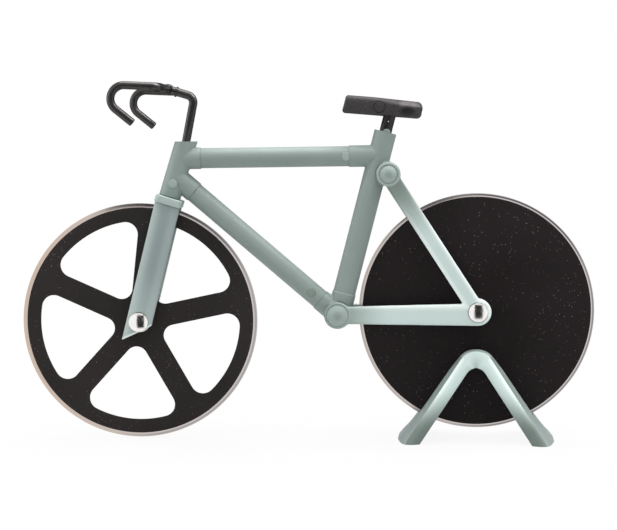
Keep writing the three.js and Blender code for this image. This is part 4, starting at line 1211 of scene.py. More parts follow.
class CUTTER_OT_blades(bpy.types.Operator):
    """Make the spoked front blade and the plain rear blade, with their bare ground edges"""

    bl_idname = "cutter.blades"
    bl_label = "Blades"

    def execute(self, context):
        sizes = context.scene.cutter_blades
        blades = (
            ("front", FRONT_AXLE, sizes.front_bevel, sizes.front_reflection_warmth, sizes.front_reflection_line, sizes.front_coat),
            ("rear", REAR_AXLE, sizes.rear_bevel, sizes.rear_reflection_warmth, sizes.rear_reflection_line, sizes.rear_coat),
        )
        for name, axle, bevel, reflection_warmth, line, coat in blades:
            blade = self.disc_blade(sizes, axle, bevel)
            if name == "front":
                cut(blade, *self.openings(sizes))
            steel = ground_steel(f"{name}_steel", axle, bevel, reflection_warmth, line)
            finish_piece(blade, f"{name}_blade", blade_coat(f"{name}_coat", coat), steel)
            self.bare_bevel(blade, axle, bevel)
        return {"FINISHED"}

    def disc_blade(self, sizes, axle, bevel):
        hole = sizes.axle / 2 + bpy.context.scene.cutter_bar.running
        half = sizes.thickness / 2
        edge = sizes.edge / 2
        profile = [
            (hole, -half),
            (RIM_RADIUS - bevel, -half),
            (RIM_RADIUS, -edge),
            (RIM_RADIUS, edge),
            (RIM_RADIUS - bevel, half),
            (hole, half),
            (hole, -half),
        ]
        return turned(profile, place(axle), NEAR, RIM_STEPS)

    def openings(self, sizes):
        """One cutter for each opening between two spokes."""
        first = self.opening(sizes)
        cutters = [first] + [copy_of(first) for _ in range(sizes.spokes - 1)]
        step = 2 * math.pi / sizes.spokes
        for index, cutter in enumerate(cutters):
            turn = Matrix.Rotation(sizes.spoke_turn + step * (index + 0.5), 4, NEAR)
            moved(cutter, Matrix.Translation(place(FRONT_AXLE)) @ turn)
        return cutters

    def opening(self, sizes):
        """The plate that cuts one opening, with its middle line along x and the axle at the origin."""
        half_angle = math.pi / sizes.spokes
        tangent = half_angle + math.pi / 2
        edge = sizes.spoke_width / 2
        hub = Vector(((edge + sizes.hub_fillet) / math.sin(half_angle), 0))
        reach = sizes.opening_radius - sizes.rim_fillet
        corner = half_angle - math.asin((edge + sizes.rim_fillet) / reach)
        lower = Vector((reach * math.cos(corner), -reach * math.sin(corner)))
        upper = Vector((lower.x, -lower.y))
        depth = -2 * sizes.thickness

        def on_arc(centre, radius, turn):
            return place(centre + Vector((math.cos(turn), math.sin(turn))) * radius, depth)

        first = on_arc(hub, sizes.hub_fillet, tangent)
        line = draw_line("opening", first)
        line.around(place(hub, depth), NEAR, 2 * (math.pi - tangent), ARC_STEPS)
        line.to(on_arc(lower, sizes.rim_fillet, -tangent))
        line.around(place(lower, depth), NEAR, tangent - corner, ARC_STEPS)
        line.around(Vector((0, -depth, 0)), NEAR, 2 * corner, 2 * ARC_STEPS)
        line.around(place(upper, depth), NEAR, tangent - corner, ARC_STEPS)
        return fill_and_extrude(line, first, NEAR * -2 * depth)

    def bare_bevel(self, piece, axle, bevel):
        """Gives the faces of the bevel the second material, which is the bare steel."""
        centre = place(axle)
        for face in piece.data.polygons:
            offset = face.center - centre
            offset.y = 0
            face.material_index = int(offset.length > RIM_RADIUS - bevel)


class CUTTER_OT_axles(bpy.types.Operator):
    """Make the two axle rivets with domed heads, and the spacer rings beside the blades"""

    bl_idname = "cutter.axles"
    bl_label = "Axles and spacers"

    def execute(self, context):
        sizes = context.scene.cutter_blades
        plastic_sizes = context.scene.cutter_frame
        play = plastic_sizes.side_play
        fork_inside = plastic_sizes.fork_gap / 2
        arm_inside = plastic_sizes.arm_gap / 2
        ends = (
            ("front", FRONT_AXLE, fork_inside, fork_inside + plastic_sizes.leg_thickness),
            ("rear", REAR_AXLE, arm_inside, arm_inside + plastic_sizes.arm_thickness),
        )
        for name, axle, inside, outside in ends:
            rivet = self.rivet(sizes, axle, outside + play)
            finish_piece(rivet, f"{name}_axle_rivet", polished_steel())
            for side, sign in SIDES.items():
                inner = sizes.thickness / 2 + play
                ring = self.ring(sizes, axle, NEAR * sign, inner, inside - play)
                finish_piece(ring, f"{name}_spacer_{side}", white_nylon())
        return {"FINISHED"}

    def rivet(self, sizes, axle, seat):
        rim = sizes.head / 2
        head = dome(rim, seat + sizes.head_edge, sizes.head_height - sizes.head_edge)
        floor = seat - sizes.recess_depth
        near = [(sizes.axle / 2, floor), (rim, floor)] + head
        far = [(radius, -height) for radius, height in reversed(near)]
        return turned(far + near, place(axle), NEAR)

    def ring(self, sizes, axle, axis, inner, end):
        hole = sizes.axle / 2 + bpy.context.scene.cutter_frame.fit
        outer = sizes.spacer / 2
        profile = [(hole, inner), (outer, inner), (outer, end), (hole, end), (hole, inner)]
        return round_edges(turned(profile, place(axle), axis, HOLE_STEPS), SMALL_EDGE)


def pin_shape(sizes, spot, diameter, clearance):
    """A cross pin with its head at the near face of a tube, or with a clearance, the hole for it."""
    face = diameter / 2 + sizes.pin_proud
    seat = face - sizes.pin_depth - clearance
    head = sizes.pin / 2 + clearance
    shank = sizes.shank / 2 + clearance
    cover = 0.5 * MM  # what is left of the tube over the shank's far end
    end = cover - diameter / 2 - clearance
    top = face + clearance
    profile = [(0.0, end), (shank, end), (shank, seat), (head, seat), (head, top), (0.0, top)]
    return turned(profile, place(spot), NEAR, HOLE_STEPS)


class CUTTER_OT_lugs(bpy.types.Operator):
    """Make the head lug, the seat tube and the bottom bracket as mouldings with rounded inner corners"""

    bl_idname = "cutter.lugs"
    bl_label = "Lugs"

    spare = 6 * MM  # how far the mouldings run past their seams before they are trimmed
    narrow = 12 * MM  # diameter of the tools that trim a stub
    wide = 24 * MM  # diameter of the tools that trim a whole tube

    def execute(self, context):
        sizes = context.scene.cutter_frame
        lines = FrameLines(sizes)
        finish_piece(self.head_lug(sizes, lines), "head_lug", frame_green())
        finish_piece(self.seat_tube(sizes, lines), "seat_tube", frame_green())
        finish_piece(self.bottom_bracket(sizes, lines), "bottom_bracket", bracket_green())
        return {"FINISHED"}

    def end_cutter(self, spot, direction, diameter=narrow):
        return flat_rod(spot, spot + direction * 2 * self.spare, diameter, HOLE_STEPS)

    def cap_hole(self, sizes, spot):
        """The cutter for the shanks of both caps, right through a lug."""
        return disc(spot, sizes.cap_shank + 2 * sizes.fit, -sizes.arm_gap, sizes.arm_gap, HOLE_STEPS)

    def arm_faces(self, sizes, spot, diameter):
        """Cutters for the flats where the rear arms lie against a lug."""
        inside = sizes.arm_gap / 2 - sizes.side_play
        wide = diameter + 2 * sizes.relief
        return [disc(spot, wide, sign * inside, sign * (inside + self.spare)) for sign in SIDES.values()]

    def head_lug(self, sizes, lines):
        bar = bpy.context.scene.cutter_bar
        up = lines.head_up
        top_seam = lines.top_seams[0]
        down_seam = lines.down_seams[0]
        lug = melted(
            [
                flat_rod(lines.head_foot - up * self.spare, HEAD_TOP + up * self.spare, sizes.head_diameter),
                flat_rod(lines.top_front, top_seam + lines.top_run * self.spare, sizes.stub),
                flat_rod(lines.down_front, down_seam + lines.down_run * self.spare, sizes.stub),
            ],
            sizes.voxel,
            sizes.rounding,
        )
        cut(
            lug,
            self.end_cutter(HEAD_TOP, Vector((0, 1)), self.wide),
            self.end_cutter(lines.head_foot, -up, self.wide),
            self.end_cutter(top_seam, lines.top_run),
            self.end_cutter(down_seam, lines.down_run),
        )
        stem_up = upright(bar.lean)
        stem_hole = flat_rod(
            HEAD_TOP - stem_up * (bar.insert + sizes.seam),
            HEAD_TOP + stem_up * bar.rise,
            bar.stem + 2 * bar.running,
            HOLE_STEPS,
        )
        pin_hole = pin_shape(sizes, node_spot("head_pin"), sizes.head_diameter, sizes.groove)
        return cut(lug, stem_hole, pin_hole)

    def seat_tube(self, sizes, lines):
        saddle = bpy.context.scene.cutter_saddle
        up = lines.seat_up
        foot = lines.seat_seam + up * sizes.seam
        seam = lines.top_seams[1]
        inside = sizes.arm_gap / 2
        tube = melted(
            [
                flat_rod(foot - up * self.spare, lines.seat_top + up * self.spare, sizes.seat_diameter),
                flat_rod(lines.top_rear, seam - lines.top_run * self.spare, sizes.stub),
                disc(EAR, sizes.ear, -inside, inside),
            ],
            sizes.voxel,
            sizes.rounding,
        )
        cut(
            tube,
            self.end_cutter(lines.seat_top, up, self.wide),
            self.end_cutter(foot, -up, self.wide),
            self.end_cutter(seam, -lines.top_run),
            *self.arm_faces(sizes, EAR, sizes.ear),
        )
        post_hole = flat_rod(
            lines.seat_top - up * (saddle.post_insert + sizes.seam),
            lines.seat_top + up * saddle.post_rise,
            saddle.post + 2 * sizes.fit,
            HOLE_STEPS,
        )
        lip_spot = lines.seat_top + rearwards(up) * saddle.lip_back - up * saddle.lip_drop
        lip = disc(lip_spot, saddle.lip, 0, sizes.seat_diameter / 2 - saddle.lip_depth, ROD_STEPS)
        combine(tube, [round_edges(lip, SOFT_EDGE)], "UNION")
        cap_hole = self.cap_hole(sizes, EAR)
        pin_hole = pin_shape(sizes, node_spot("top_tube_pin"), sizes.tube, sizes.groove)
        return cut(tube, post_hole, cap_hole, pin_hole)

    def bottom_bracket(self, sizes, lines):
        inside = sizes.arm_gap / 2
        seat_seam = lines.seat_seam
        down_seam = lines.down_seams[1]
        lug = melted(
            [
                disc(BRACKET, sizes.bracket, -inside, inside),
                flat_rod(lines.seat_foot, seat_seam + lines.seat_up * self.spare, sizes.foot_stub),
                flat_rod(BRACKET, down_seam - lines.down_run * self.spare, sizes.stub),
            ],
            sizes.voxel,
            sizes.rounding,
        )
        cut(
            lug,
            self.end_cutter(seat_seam, lines.seat_up),
            self.end_cutter(down_seam, -lines.down_run),
            *self.arm_faces(sizes, BRACKET, sizes.bracket),
        )
        return cut(lug, self.cap_hole(sizes, BRACKET))


class CUTTER_OT_tubes(bpy.types.Operator):
    """Make the top tube, the down tube and the cross pins that hold the joints"""

    bl_idname = "cutter.tubes"
    bl_label = "Tubes and pins"

    def execute(self, context):
        sizes = context.scene.cutter_frame
        lines = FrameLines(sizes)
        tubes = (
            ("top_tube", lines.top_seams, lines.top_run),
            ("down_tube", lines.down_seams, lines.down_run),
        )
        for node, (start, end), run in tubes:
            tube = flat_rod(start + run * sizes.seam, end - run * sizes.seam, sizes.tube)
            round_edges(tube, SEAM_EDGE)
            cut(tube, pin_shape(sizes, node_spot(f"{node}_pin"), sizes.tube, sizes.groove))
            finish_piece(tube, node, frame_green())
        pale_pin = mixed_green("pale_pin_plastic", 0.25, sizes.pale)
        dark_pin = mixed_green("dark_pin_plastic", 0.8, sizes.pale_deep)
        pins = (
            ("head_pin", sizes.head_diameter, pale_pin),
            ("top_tube_pin", sizes.tube, pale_pin),
            ("down_tube_pin", sizes.tube, dark_pin),
        )
        for node, diameter, finish in pins:
            pin = round_edges(pin_shape(sizes, node_spot(node), diameter, 0.0), SMALL_EDGE)
            finish_piece(pin, node, finish)
        return {"FINISHED"}


class CUTTER_OT_fork(bpy.types.Operator):
    """Make the fork's collar and its two legs with rounded faces and slanting ends"""

    bl_idname = "cutter.fork"
    bl_label = "Fork"

    least_rise = 0.99  # how steep an edge is that counts as upright
    spare = 3  # how far a leg runs past its ends before it is trimmed, in times of its tip's drop

    def execute(self, context):
        sizes = context.scene.cutter_frame
        lines = FrameLines(sizes)
        pale = mixed_green("collar_plastic", 0.45, sizes.pale)
        finish_piece(self.collar(sizes, lines), "fork_crown", pale)
        for name, side in SIDES.items():
            finish_piece(self.leg(sizes, lines, side), f"fork_leg_{name}", fork_green())
        return {"FINISHED"}

    def collar(self, sizes, lines):
        half_length = sizes.collar_length / 2
        half_width = sizes.fork_gap / 2 + sizes.leg_thickness + sizes.collar_overhang
        signs = ((-1, -1), (1, -1), (1, 1), (-1, 1))
        corners = [Vector((along * half_length, across * half_width, 0)) for along, across in signs]
        block = plate(corners, UP * sizes.collar_height)
        bpy.ops.object.mode_set(mode="EDIT")
        self.select_upright_edges(block)
        bpy.ops.mesh.bevel(offset=sizes.collar_corner, segments=8, affect="EDGES")
        end_edit()
        round_edges(block, FORK_EDGE, 4)
        spot = Matrix.Translation(place(lines.leg_top)) @ Matrix.Rotation(sizes.head_lean, 4, "Y")
        return moved(block, spot)

    def select_upright_edges(self, piece):
        bpy.ops.mesh.select_mode(type="EDGE")
        bpy.ops.mesh.select_all(action="DESELECT")
        mesh = bmesh.from_edit_mesh(piece.data)
        for edge in mesh.edges:
            run = edge.verts[1].co - edge.verts[0].co
            edge.select = abs(run.normalized().z) > self.least_rise
        mesh.select_flush_mode()
        bmesh.update_edit_mesh(piece.data)

    def leg(self, sizes, lines, side):
        """A rounded bar drawn out along the leg, trimmed under the collar and slantwise at its end."""
        up = lines.fork_up
        across = rearwards(up)
        half = sizes.leg_width / 2
        inside = side * sizes.fork_gap / 2
        shoulder = inside + side * sizes.leg_side
        swell = sizes.leg_thickness - sizes.leg_side
        radius = (half**2 + swell**2) / (2 * swell)
        foot = lines.leg_line - up * self.spare * sizes.tip_drop
        length = (lines.leg_top - foot).length + self.spare * sizes.tip_drop

        front = place(foot - across * half, shoulder)
        line = draw_line("leg", front)
        centre = place(foot, inside + side * (sizes.leg_thickness - radius))
        sweep = 2 * math.asin(half / radius)
        line.around(centre, run_of(up) * side, sweep, 2 * ARC_STEPS)
        line.to(place(foot + across * half, inside))
        line.to(place(foot - across * half, inside))
        leg = fill_and_extrude(line, front, run_of(up) * length)

        trim_end(leg, place(lines.leg_tip), run_of(rearwards(lines.leg_slant.normalized())))
        trim_end(leg, place(lines.leg_top - lines.head_up * sizes.seam), run_of(lines.head_up))
        round_edges(leg, FORK_EDGE, 4, math.radians(30))
        blades = bpy.context.scene.cutter_blades
        crest = inside + side * sizes.leg_thickness
        beyond = crest + side * sizes.leg_thickness
        recess = disc(FRONT_AXLE, blades.recess, crest - side * blades.recess_depth, beyond)
        return cut(leg, recess, disc(FRONT_AXLE, blades.axle + 2 * sizes.fit, 0, beyond, HOLE_STEPS))


class CUTTER_OT_arms(bpy.types.Operator):
    """Make the two rear arms with their bosses, and the domed caps that sit in the bosses"""

    bl_idname = "cutter.arms"
    bl_label = "Rear arms and caps"

    def execute(self, context):
        sizes = context.scene.cutter_frame
        caps = (("seat_cap", EAR, sizes.seat_cap), ("bracket_cap", BRACKET, sizes.bracket_cap))
        for name, side in SIDES.items():
            finish_piece(self.arm(sizes, side, caps), f"rear_arm_{name}", arm_green())
            for node, spot, diameter in caps:
                cap = self.cap(sizes, spot, NEAR * side, diameter)
                finish_piece(cap, f"{node}_{name}", cap_green(f"{node}_plastic", spot, diameter / 2))
        return {"FINISHED"}

    def stay(self, start, half, below_axle, inside, outside):
        """A straight bar from a boss to the axle, where its lower edge has its own reach."""
        across = rearwards((REAR_AXLE - start).normalized())
        corners = [
            start + across * half,
            REAR_AXLE + across * below_axle,
            REAR_AXLE - across * half,
            start - across * half,
        ]
        return plate([place(corner, inside) for corner in corners], NEAR * (outside - inside))

    def arm(self, sizes, side, caps):
        inside = side * sizes.arm_gap / 2
        outside = inside + side * sizes.arm_thickness
        proud = outside + side * sizes.boss_proud
        seat_half = sizes.seat_stay / 2
        chain_half = sizes.chain_stay / 2
        arm = melted(
            [
                self.stay(EAR, seat_half, seat_half, inside, outside),
                self.stay(BRACKET, chain_half, sizes.axle_boss / 2, inside, outside),
                disc(REAR_AXLE, sizes.axle_boss, inside, outside),
                disc(EAR, sizes.ear, inside, proud),
                disc(BRACKET, sizes.bracket, inside, proud),
            ],
            sizes.voxel,
            sizes.arm_rounding,
        )
        beyond = proud + side * sizes.arm_thickness
        cut(arm, *[self.cap_recess(sizes, spot, NEAR * side, wide) for _, spot, wide in caps])
        shank = sizes.cap_shank + 2 * sizes.fit
        blades = bpy.context.scene.cutter_blades
        cut(arm, disc(REAR_AXLE, blades.recess, outside - side * blades.recess_depth, beyond))
        holes = [(EAR, shank), (BRACKET, shank), (REAR_AXLE, blades.axle + 2 * sizes.fit)]
        return mended(cut(arm, *[disc(spot, wide, 0, beyond, HOLE_STEPS) for spot, wide in holes]))

    def cap_recess(self, sizes, spot, axis, diameter):
        """The cutter for a cap's recess, which flares at its mouth."""
        face = sizes.arm_gap / 2 + sizes.arm_thickness + sizes.boss_proud
        wall = diameter / 2 + sizes.groove
        floor = face - sizes.cap_seat
        mouth = face - sizes.cap_flare
        top = face + sizes.cap_flare
        flared = wall + 2 * sizes.cap_flare
        profile = [(0.0, floor), (wall, floor), (wall, mouth), (flared, top), (0.0, top)]
        return turned(profile, place(spot), axis)

    def cap(self, sizes, spot, axis, diameter):
        rim = diameter / 2
        proud = sizes.arm_gap / 2 + sizes.arm_thickness + sizes.boss_proud
        seat = proud - sizes.cap_seat + sizes.side_play
        shank = sizes.cap_shank / 2
        end = 0.3 * MM
        profile = [(0.0, end), (shank, end), (shank, seat), (rim, seat)]
        return turned(profile + dome(rim, seat + sizes.cap_edge, sizes.cap_dome), place(spot), axis)


class CUTTER_OT_bar(bpy.types.Operator):
    """Make the bent stem with its eye, and the drop handlebar that goes through the eye"""

    bl_idname = "cutter.bar"
    bl_label = "Stem and handlebar"

    def execute(self, context):
        sizes = context.scene.cutter_bar
        steering = (
            Matrix.Translation(place(HEAD_TOP))
            @ Matrix.Rotation(sizes.lean, 4, "Y")
            @ Matrix.Rotation(-sizes.turn, 4, "Z")
        )
        finish_piece(moved(self.stem(sizes), steering), "stem", rod_black())
        finish_piece(moved(self.handlebar(sizes), steering), "handlebar", rod_black())
        return {"FINISHED"}

    def forwards(self, sizes, climb):
        """The direction of a forward run, drawn with the stem upright."""
        slope = climb - sizes.lean
        return Vector((-math.cos(slope), math.sin(slope)))

    def bar_middle(self, sizes):
        return Vector((0, sizes.rise)) + self.forwards(sizes, sizes.climb) * sizes.reach

    def stem(self, sizes):
        ahead = self.forwards(sizes, sizes.climb)
        bend = math.atan2(ahead.y, ahead.x) - math.pi / 2
        setback = sizes.stem_bend * math.tan(bend / 2)
        corner = Vector((0, sizes.rise))
        foot = place(Vector((0, -sizes.insert)))
        shaft = draw_rod("stem", foot, UP, sizes.stem, ROD_STEPS)
        shaft.to(place(corner - Vector((0, setback))))
        centre = place(corner - Vector((sizes.stem_bend, setback)))
        shaft.around(centre, NEAR, bend, BEND_STEPS)
        middle = self.bar_middle(sizes)
        shaft.to(place(middle))
        rod_part = round_edges(close_mesh(), SMALL_EDGE)
        half_eye = sizes.eye_length / 2
        eye = round_edges(disc(middle, sizes.eye, -half_eye, half_eye, ROD_STEPS), EYE_EDGE, 4)
        beside = middle - ahead * (sizes.eye / 2 + sizes.ring_width)
        ring = round_edges(flat_rod(beside, beside - ahead * sizes.ring_width, sizes.ring), SOFT_EDGE, 4)
        combine(rod_part, [eye, ring], "UNION")
        fit = bpy.context.scene.cutter_frame.fit
        hole = disc(middle, sizes.bar + 2 * fit, -sizes.eye_length, sizes.eye_length, ROD_STEPS)
        return cut(rod_part, hole)

    def handlebar(self, sizes):
        """Drawn from the near tail, round the hook and the shoulders, to the far tail."""
        half = sizes.spread / 2
        ahead = self.forwards(sizes, sizes.bar_climb)
        down = Matrix.Rotation(sizes.hook_turn, 2) @ ahead
        middle = self.bar_middle(sizes)
        hook_start = middle + ahead * sizes.bar_reach
        hook_centre = hook_start + Vector((-ahead.y, ahead.x)) * sizes.hook_radius
        hook_end = hook_centre + Matrix.Rotation(sizes.hook_turn, 2) @ (hook_start - hook_centre)
        tail = hook_end + down * sizes.tail
        inset = sizes.shoulder
        quarter = math.pi / 2
        side = run_of(ahead).cross(NEAR)

        bar = draw_rod("handlebar", place(tail, half), run_of(-down), sizes.bar, ROD_STEPS)
        bar.to(place(hook_end, half))
        bar.around(place(hook_centre, half), NEAR, -sizes.hook_turn, 2 * BEND_STEPS)
        bar.to(place(middle + ahead * inset, half))
        bar.around(place(middle + ahead * inset, half - inset), side, quarter, BEND_STEPS)
        bar.to(place(middle, inset - half))
        bar.around(place(middle + ahead * inset, inset - half), side, quarter, BEND_STEPS)
        bar.to(place(hook_start, -half))
        bar.around(place(hook_centre, -half), NEAR, sizes.hook_turn, 2 * BEND_STEPS)
        bar.to(place(tail, -half))
        return round_edges(close_mesh(), BAR_EDGE)


class CUTTER_OT_saddle(bpy.types.Operator):
    """Make the saddle with its pin, and the seat post"""

    bl_idname = "cutter.saddle"
    bl_label = "Saddle and post"

    around = 64
    steps = 40
    undercut_top = 0.3  # where the undercut begins, as a share of the half height above the middle
    nose_part = 0.25  # share of the length along which the nose is raked

    def execute(self, context):
        sizes = context.scene.cutter_saddle
        on_post = saddle_place()
        saddle = self.body(sizes)
        pin = combine(copy_of(saddle), [self.pin_tool(sizes, 0.0)], "INTERSECT")
        cut(saddle, self.pin_tool(sizes, sizes.groove))
        finish_piece(moved(saddle, on_post), "saddle", saddle_black())
        finish_piece(moved(pin, on_post), "saddle_pin", saddle_black())
        finish_piece(self.post(sizes), "seat_post", post_black())
        return {"FINISHED"}

    def pin_tool(self, sizes, clearance):
        """What is inside the pin's outline down to its depth, or with a clearance, the hole for it."""
        side = self.half_width(sizes, sizes.pin_inset)
        spot = Vector((sizes.post_inset - sizes.pin_inset, sizes.pin_height))
        floor = side - sizes.pin_depth - clearance
        return disc(spot, sizes.pin + 2 * clearance, floor, side + sizes.height, HOLE_STEPS)

    def half_width(self, sizes, from_tail):
        narrow = eased((from_tail - sizes.flare_end) / (sizes.flare_start - sizes.flare_end))
        return (sizes.tail_width + (sizes.nose_width - sizes.tail_width) * narrow) / 2

    def body(self, sizes):
        """Rings from the tail to the nose, each a squared ellipse, drawn with the post at the origin."""
        rings = []
        for step in range(1, 2 * self.steps):
            turn = math.pi * step / (2 * self.steps)
            rings.append(self.ring(sizes, sizes.length * (1 - math.cos(turn)) / 2))
        return loft("saddle", rings)

    def ring(self, sizes, from_tail):
        half_width = self.half_width(sizes, from_tail)
        flare = (2 * half_width - sizes.nose_width) / (sizes.tail_width - sizes.nose_width)
        inset = max(
            round_off(sizes.end_round, from_tail),
            round_off(sizes.nose_round, sizes.length - from_tail),
        )
        half_height = sizes.height / 2
        drop = sizes.tail_drop * max(1 - from_tail / sizes.flare_start, 0.0)
        past_body = max(from_tail / sizes.length - (1 - self.nose_part), 0.0)
        rake = sizes.nose_rake * past_body / self.nose_part
        square = sizes.squareness + (1 - sizes.squareness) * flare
        ring = []
        for index in range(self.around):
            turn = 2 * math.pi * index / self.around
            upper = math.sin(turn) > 0
            rise = self.squared(math.sin(turn), square if upper else sizes.squareness)
            narrow = 1 - sizes.undercut * flare * eased(self.undercut_top - rise)
            depth = (half_width * narrow - inset) * self.squared(math.cos(turn), square)
            height = half_height + (half_height - inset) * rise
            height -= drop * max(rise, 0.0)
            back = rake * (rise + 1) / 2
            ring.append(place(Vector((sizes.post_inset - from_tail + back, height)), depth))
        return ring

    def squared(self, value, power):
        return math.copysign(abs(value) ** power, value)

    def post(self, sizes):
        lines = FrameLines(bpy.context.scene.cutter_frame)
        foot = lines.seat_top - lines.seat_up * sizes.post_insert
        top = lines.seat_top + lines.seat_up * (sizes.post_rise + sizes.height / 2)
        return round_edges(flat_rod(foot, top, sizes.post, ROD_STEPS), SOFT_EDGE)


class CUTTER_OT_stand(bpy.types.Operator):
    """Make the stand: an arch with spreading, swollen arms and a slot for the rear blade"""

    bl_idname = "cutter.stand"
    bl_label = "Stand"

    steps = 48
    across = 32
    face_steps = 10
    flare = 12  # how suddenly the arms swell at the feet
    fullness = 4  # how far the swelling keeps its height towards the edges
    top_part = 0.25  # share of the run from the top along which the swelling grows
    least_up = 0.2  # an outer face looks up by more than this
    most_across = 0.6  # and across by less than this

    def execute(self, context):
        sizes = context.scene.cutter_stand
        stand = loft("stand", self.rings(sizes))
        round_edges(stand, sizes.edge, 4, math.radians(35))
        mended(trim_end(stand, Vector((0, 0, 0)), -UP))
        half = sizes.slot / 2
        slot = 2 * (RIM_RADIUS + sizes.slot_end)
        cut(stand, disc(Vector((0, REAR_AXLE.y)), slot, -half, half, RIM_STEPS))
        spot = Matrix.Translation(Vector((REAR_AXLE.x, 0, 0))) @ Matrix.Rotation(-sizes.turn, 4, "Z")
        finish_piece(moved(stand, spot), "stand", stand_green(), stand_outside_shaded())
        # Faces that look up and outwards take the darker outer plastic: painted shade chosen by the way each
        # face looks.
        across = spot.to_3x3() @ NEAR
        for face in stand.data.polygons:
            looks_across = abs(face.normal.dot(across))
            face.material_index = int(face.normal.z > self.least_up and looks_across < self.most_across)
        return {"FINISHED"}

    def rings(self, sizes):
        """Rings round the arch from the right foot over the top to the left foot."""
        arc_half = math.pi / 2 - sizes.spread
        arc_run = sizes.apex_radius * arc_half
        arc_centre = sizes.height - sizes.apex_radius
        arm_top = arc_centre + sizes.apex_radius * math.sin(sizes.spread)
        half_run = arc_run + (arm_top + sizes.thickness) / math.cos(sizes.spread)
        rings = []
        for step in range(self.steps, -self.steps - 1, -1):
            part = step / self.steps
            distance = part * abs(part) * half_run
            side = math.copysign(1, distance)
            turn = min(abs(distance), arc_run) / sizes.apex_radius
            straight = max(abs(distance) - arc_run, 0.0)
            outwards = Vector((side * math.sin(turn), math.cos(turn)))
            spot = Vector((0, arc_centre)) + outwards * sizes.apex_radius
            spot += Vector((side * math.cos(turn), -math.sin(turn))) * straight
            thickness = self.thickness(sizes, turn, straight)
            rings.append(self.ring(sizes, spot, outwards, thickness, abs(distance) / half_run))
        return rings

    def thickness(self, sizes, turn, straight):
        """Thickness of the arch, which grows where its inside runs round the inner radius."""
        concentric = sizes.apex_radius - sizes.thickness
        lower = (sizes.inner_radius - concentric) / math.sin(sizes.spread)
        short = max(lower * math.sin(turn) - straight, 0.0)
        inside = math.sqrt(sizes.inner_radius**2 - short**2) - lower * math.cos(turn)
        return sizes.apex_radius - inside

    def ring(self, sizes, spot, outwards, thickness, part):
        up = spot.y / sizes.height
        half_depth = (sizes.foot_depth + (sizes.top_depth - sizes.foot_depth) * up) / 2
        bulge = sizes.top_bulge + (sizes.arm_bulge - sizes.top_bulge) * min(part / self.top_part, 1.0)
        bulge += (sizes.foot_bulge - sizes.arm_bulge) * part**self.flare
        edge_depth = half_depth - sizes.face_round
        outside = []
        for index in range(self.across + 1):
            away = 1 - 2 * index / self.across
            swollen = spot + outwards * bulge * (1 - away**self.fullness)
            curl = round_off(sizes.foot_round, swollen.y)
            outside.append((swollen - outwards * curl, away * edge_depth))
        ridge = outside[0][0]
        inner = spot - outwards * thickness
        face = []
        for index in range(1, self.face_steps + 1):
            down = index / self.face_steps
            curve = sizes.face_round * (2 * down - 1) ** 2
            face.append((ridge.lerp(inner, down), half_depth - curve))
        far_face = [(point, -depth) for point, depth in face]
        return [place(point, depth) for point, depth in outside + far_face + face[::-1]]


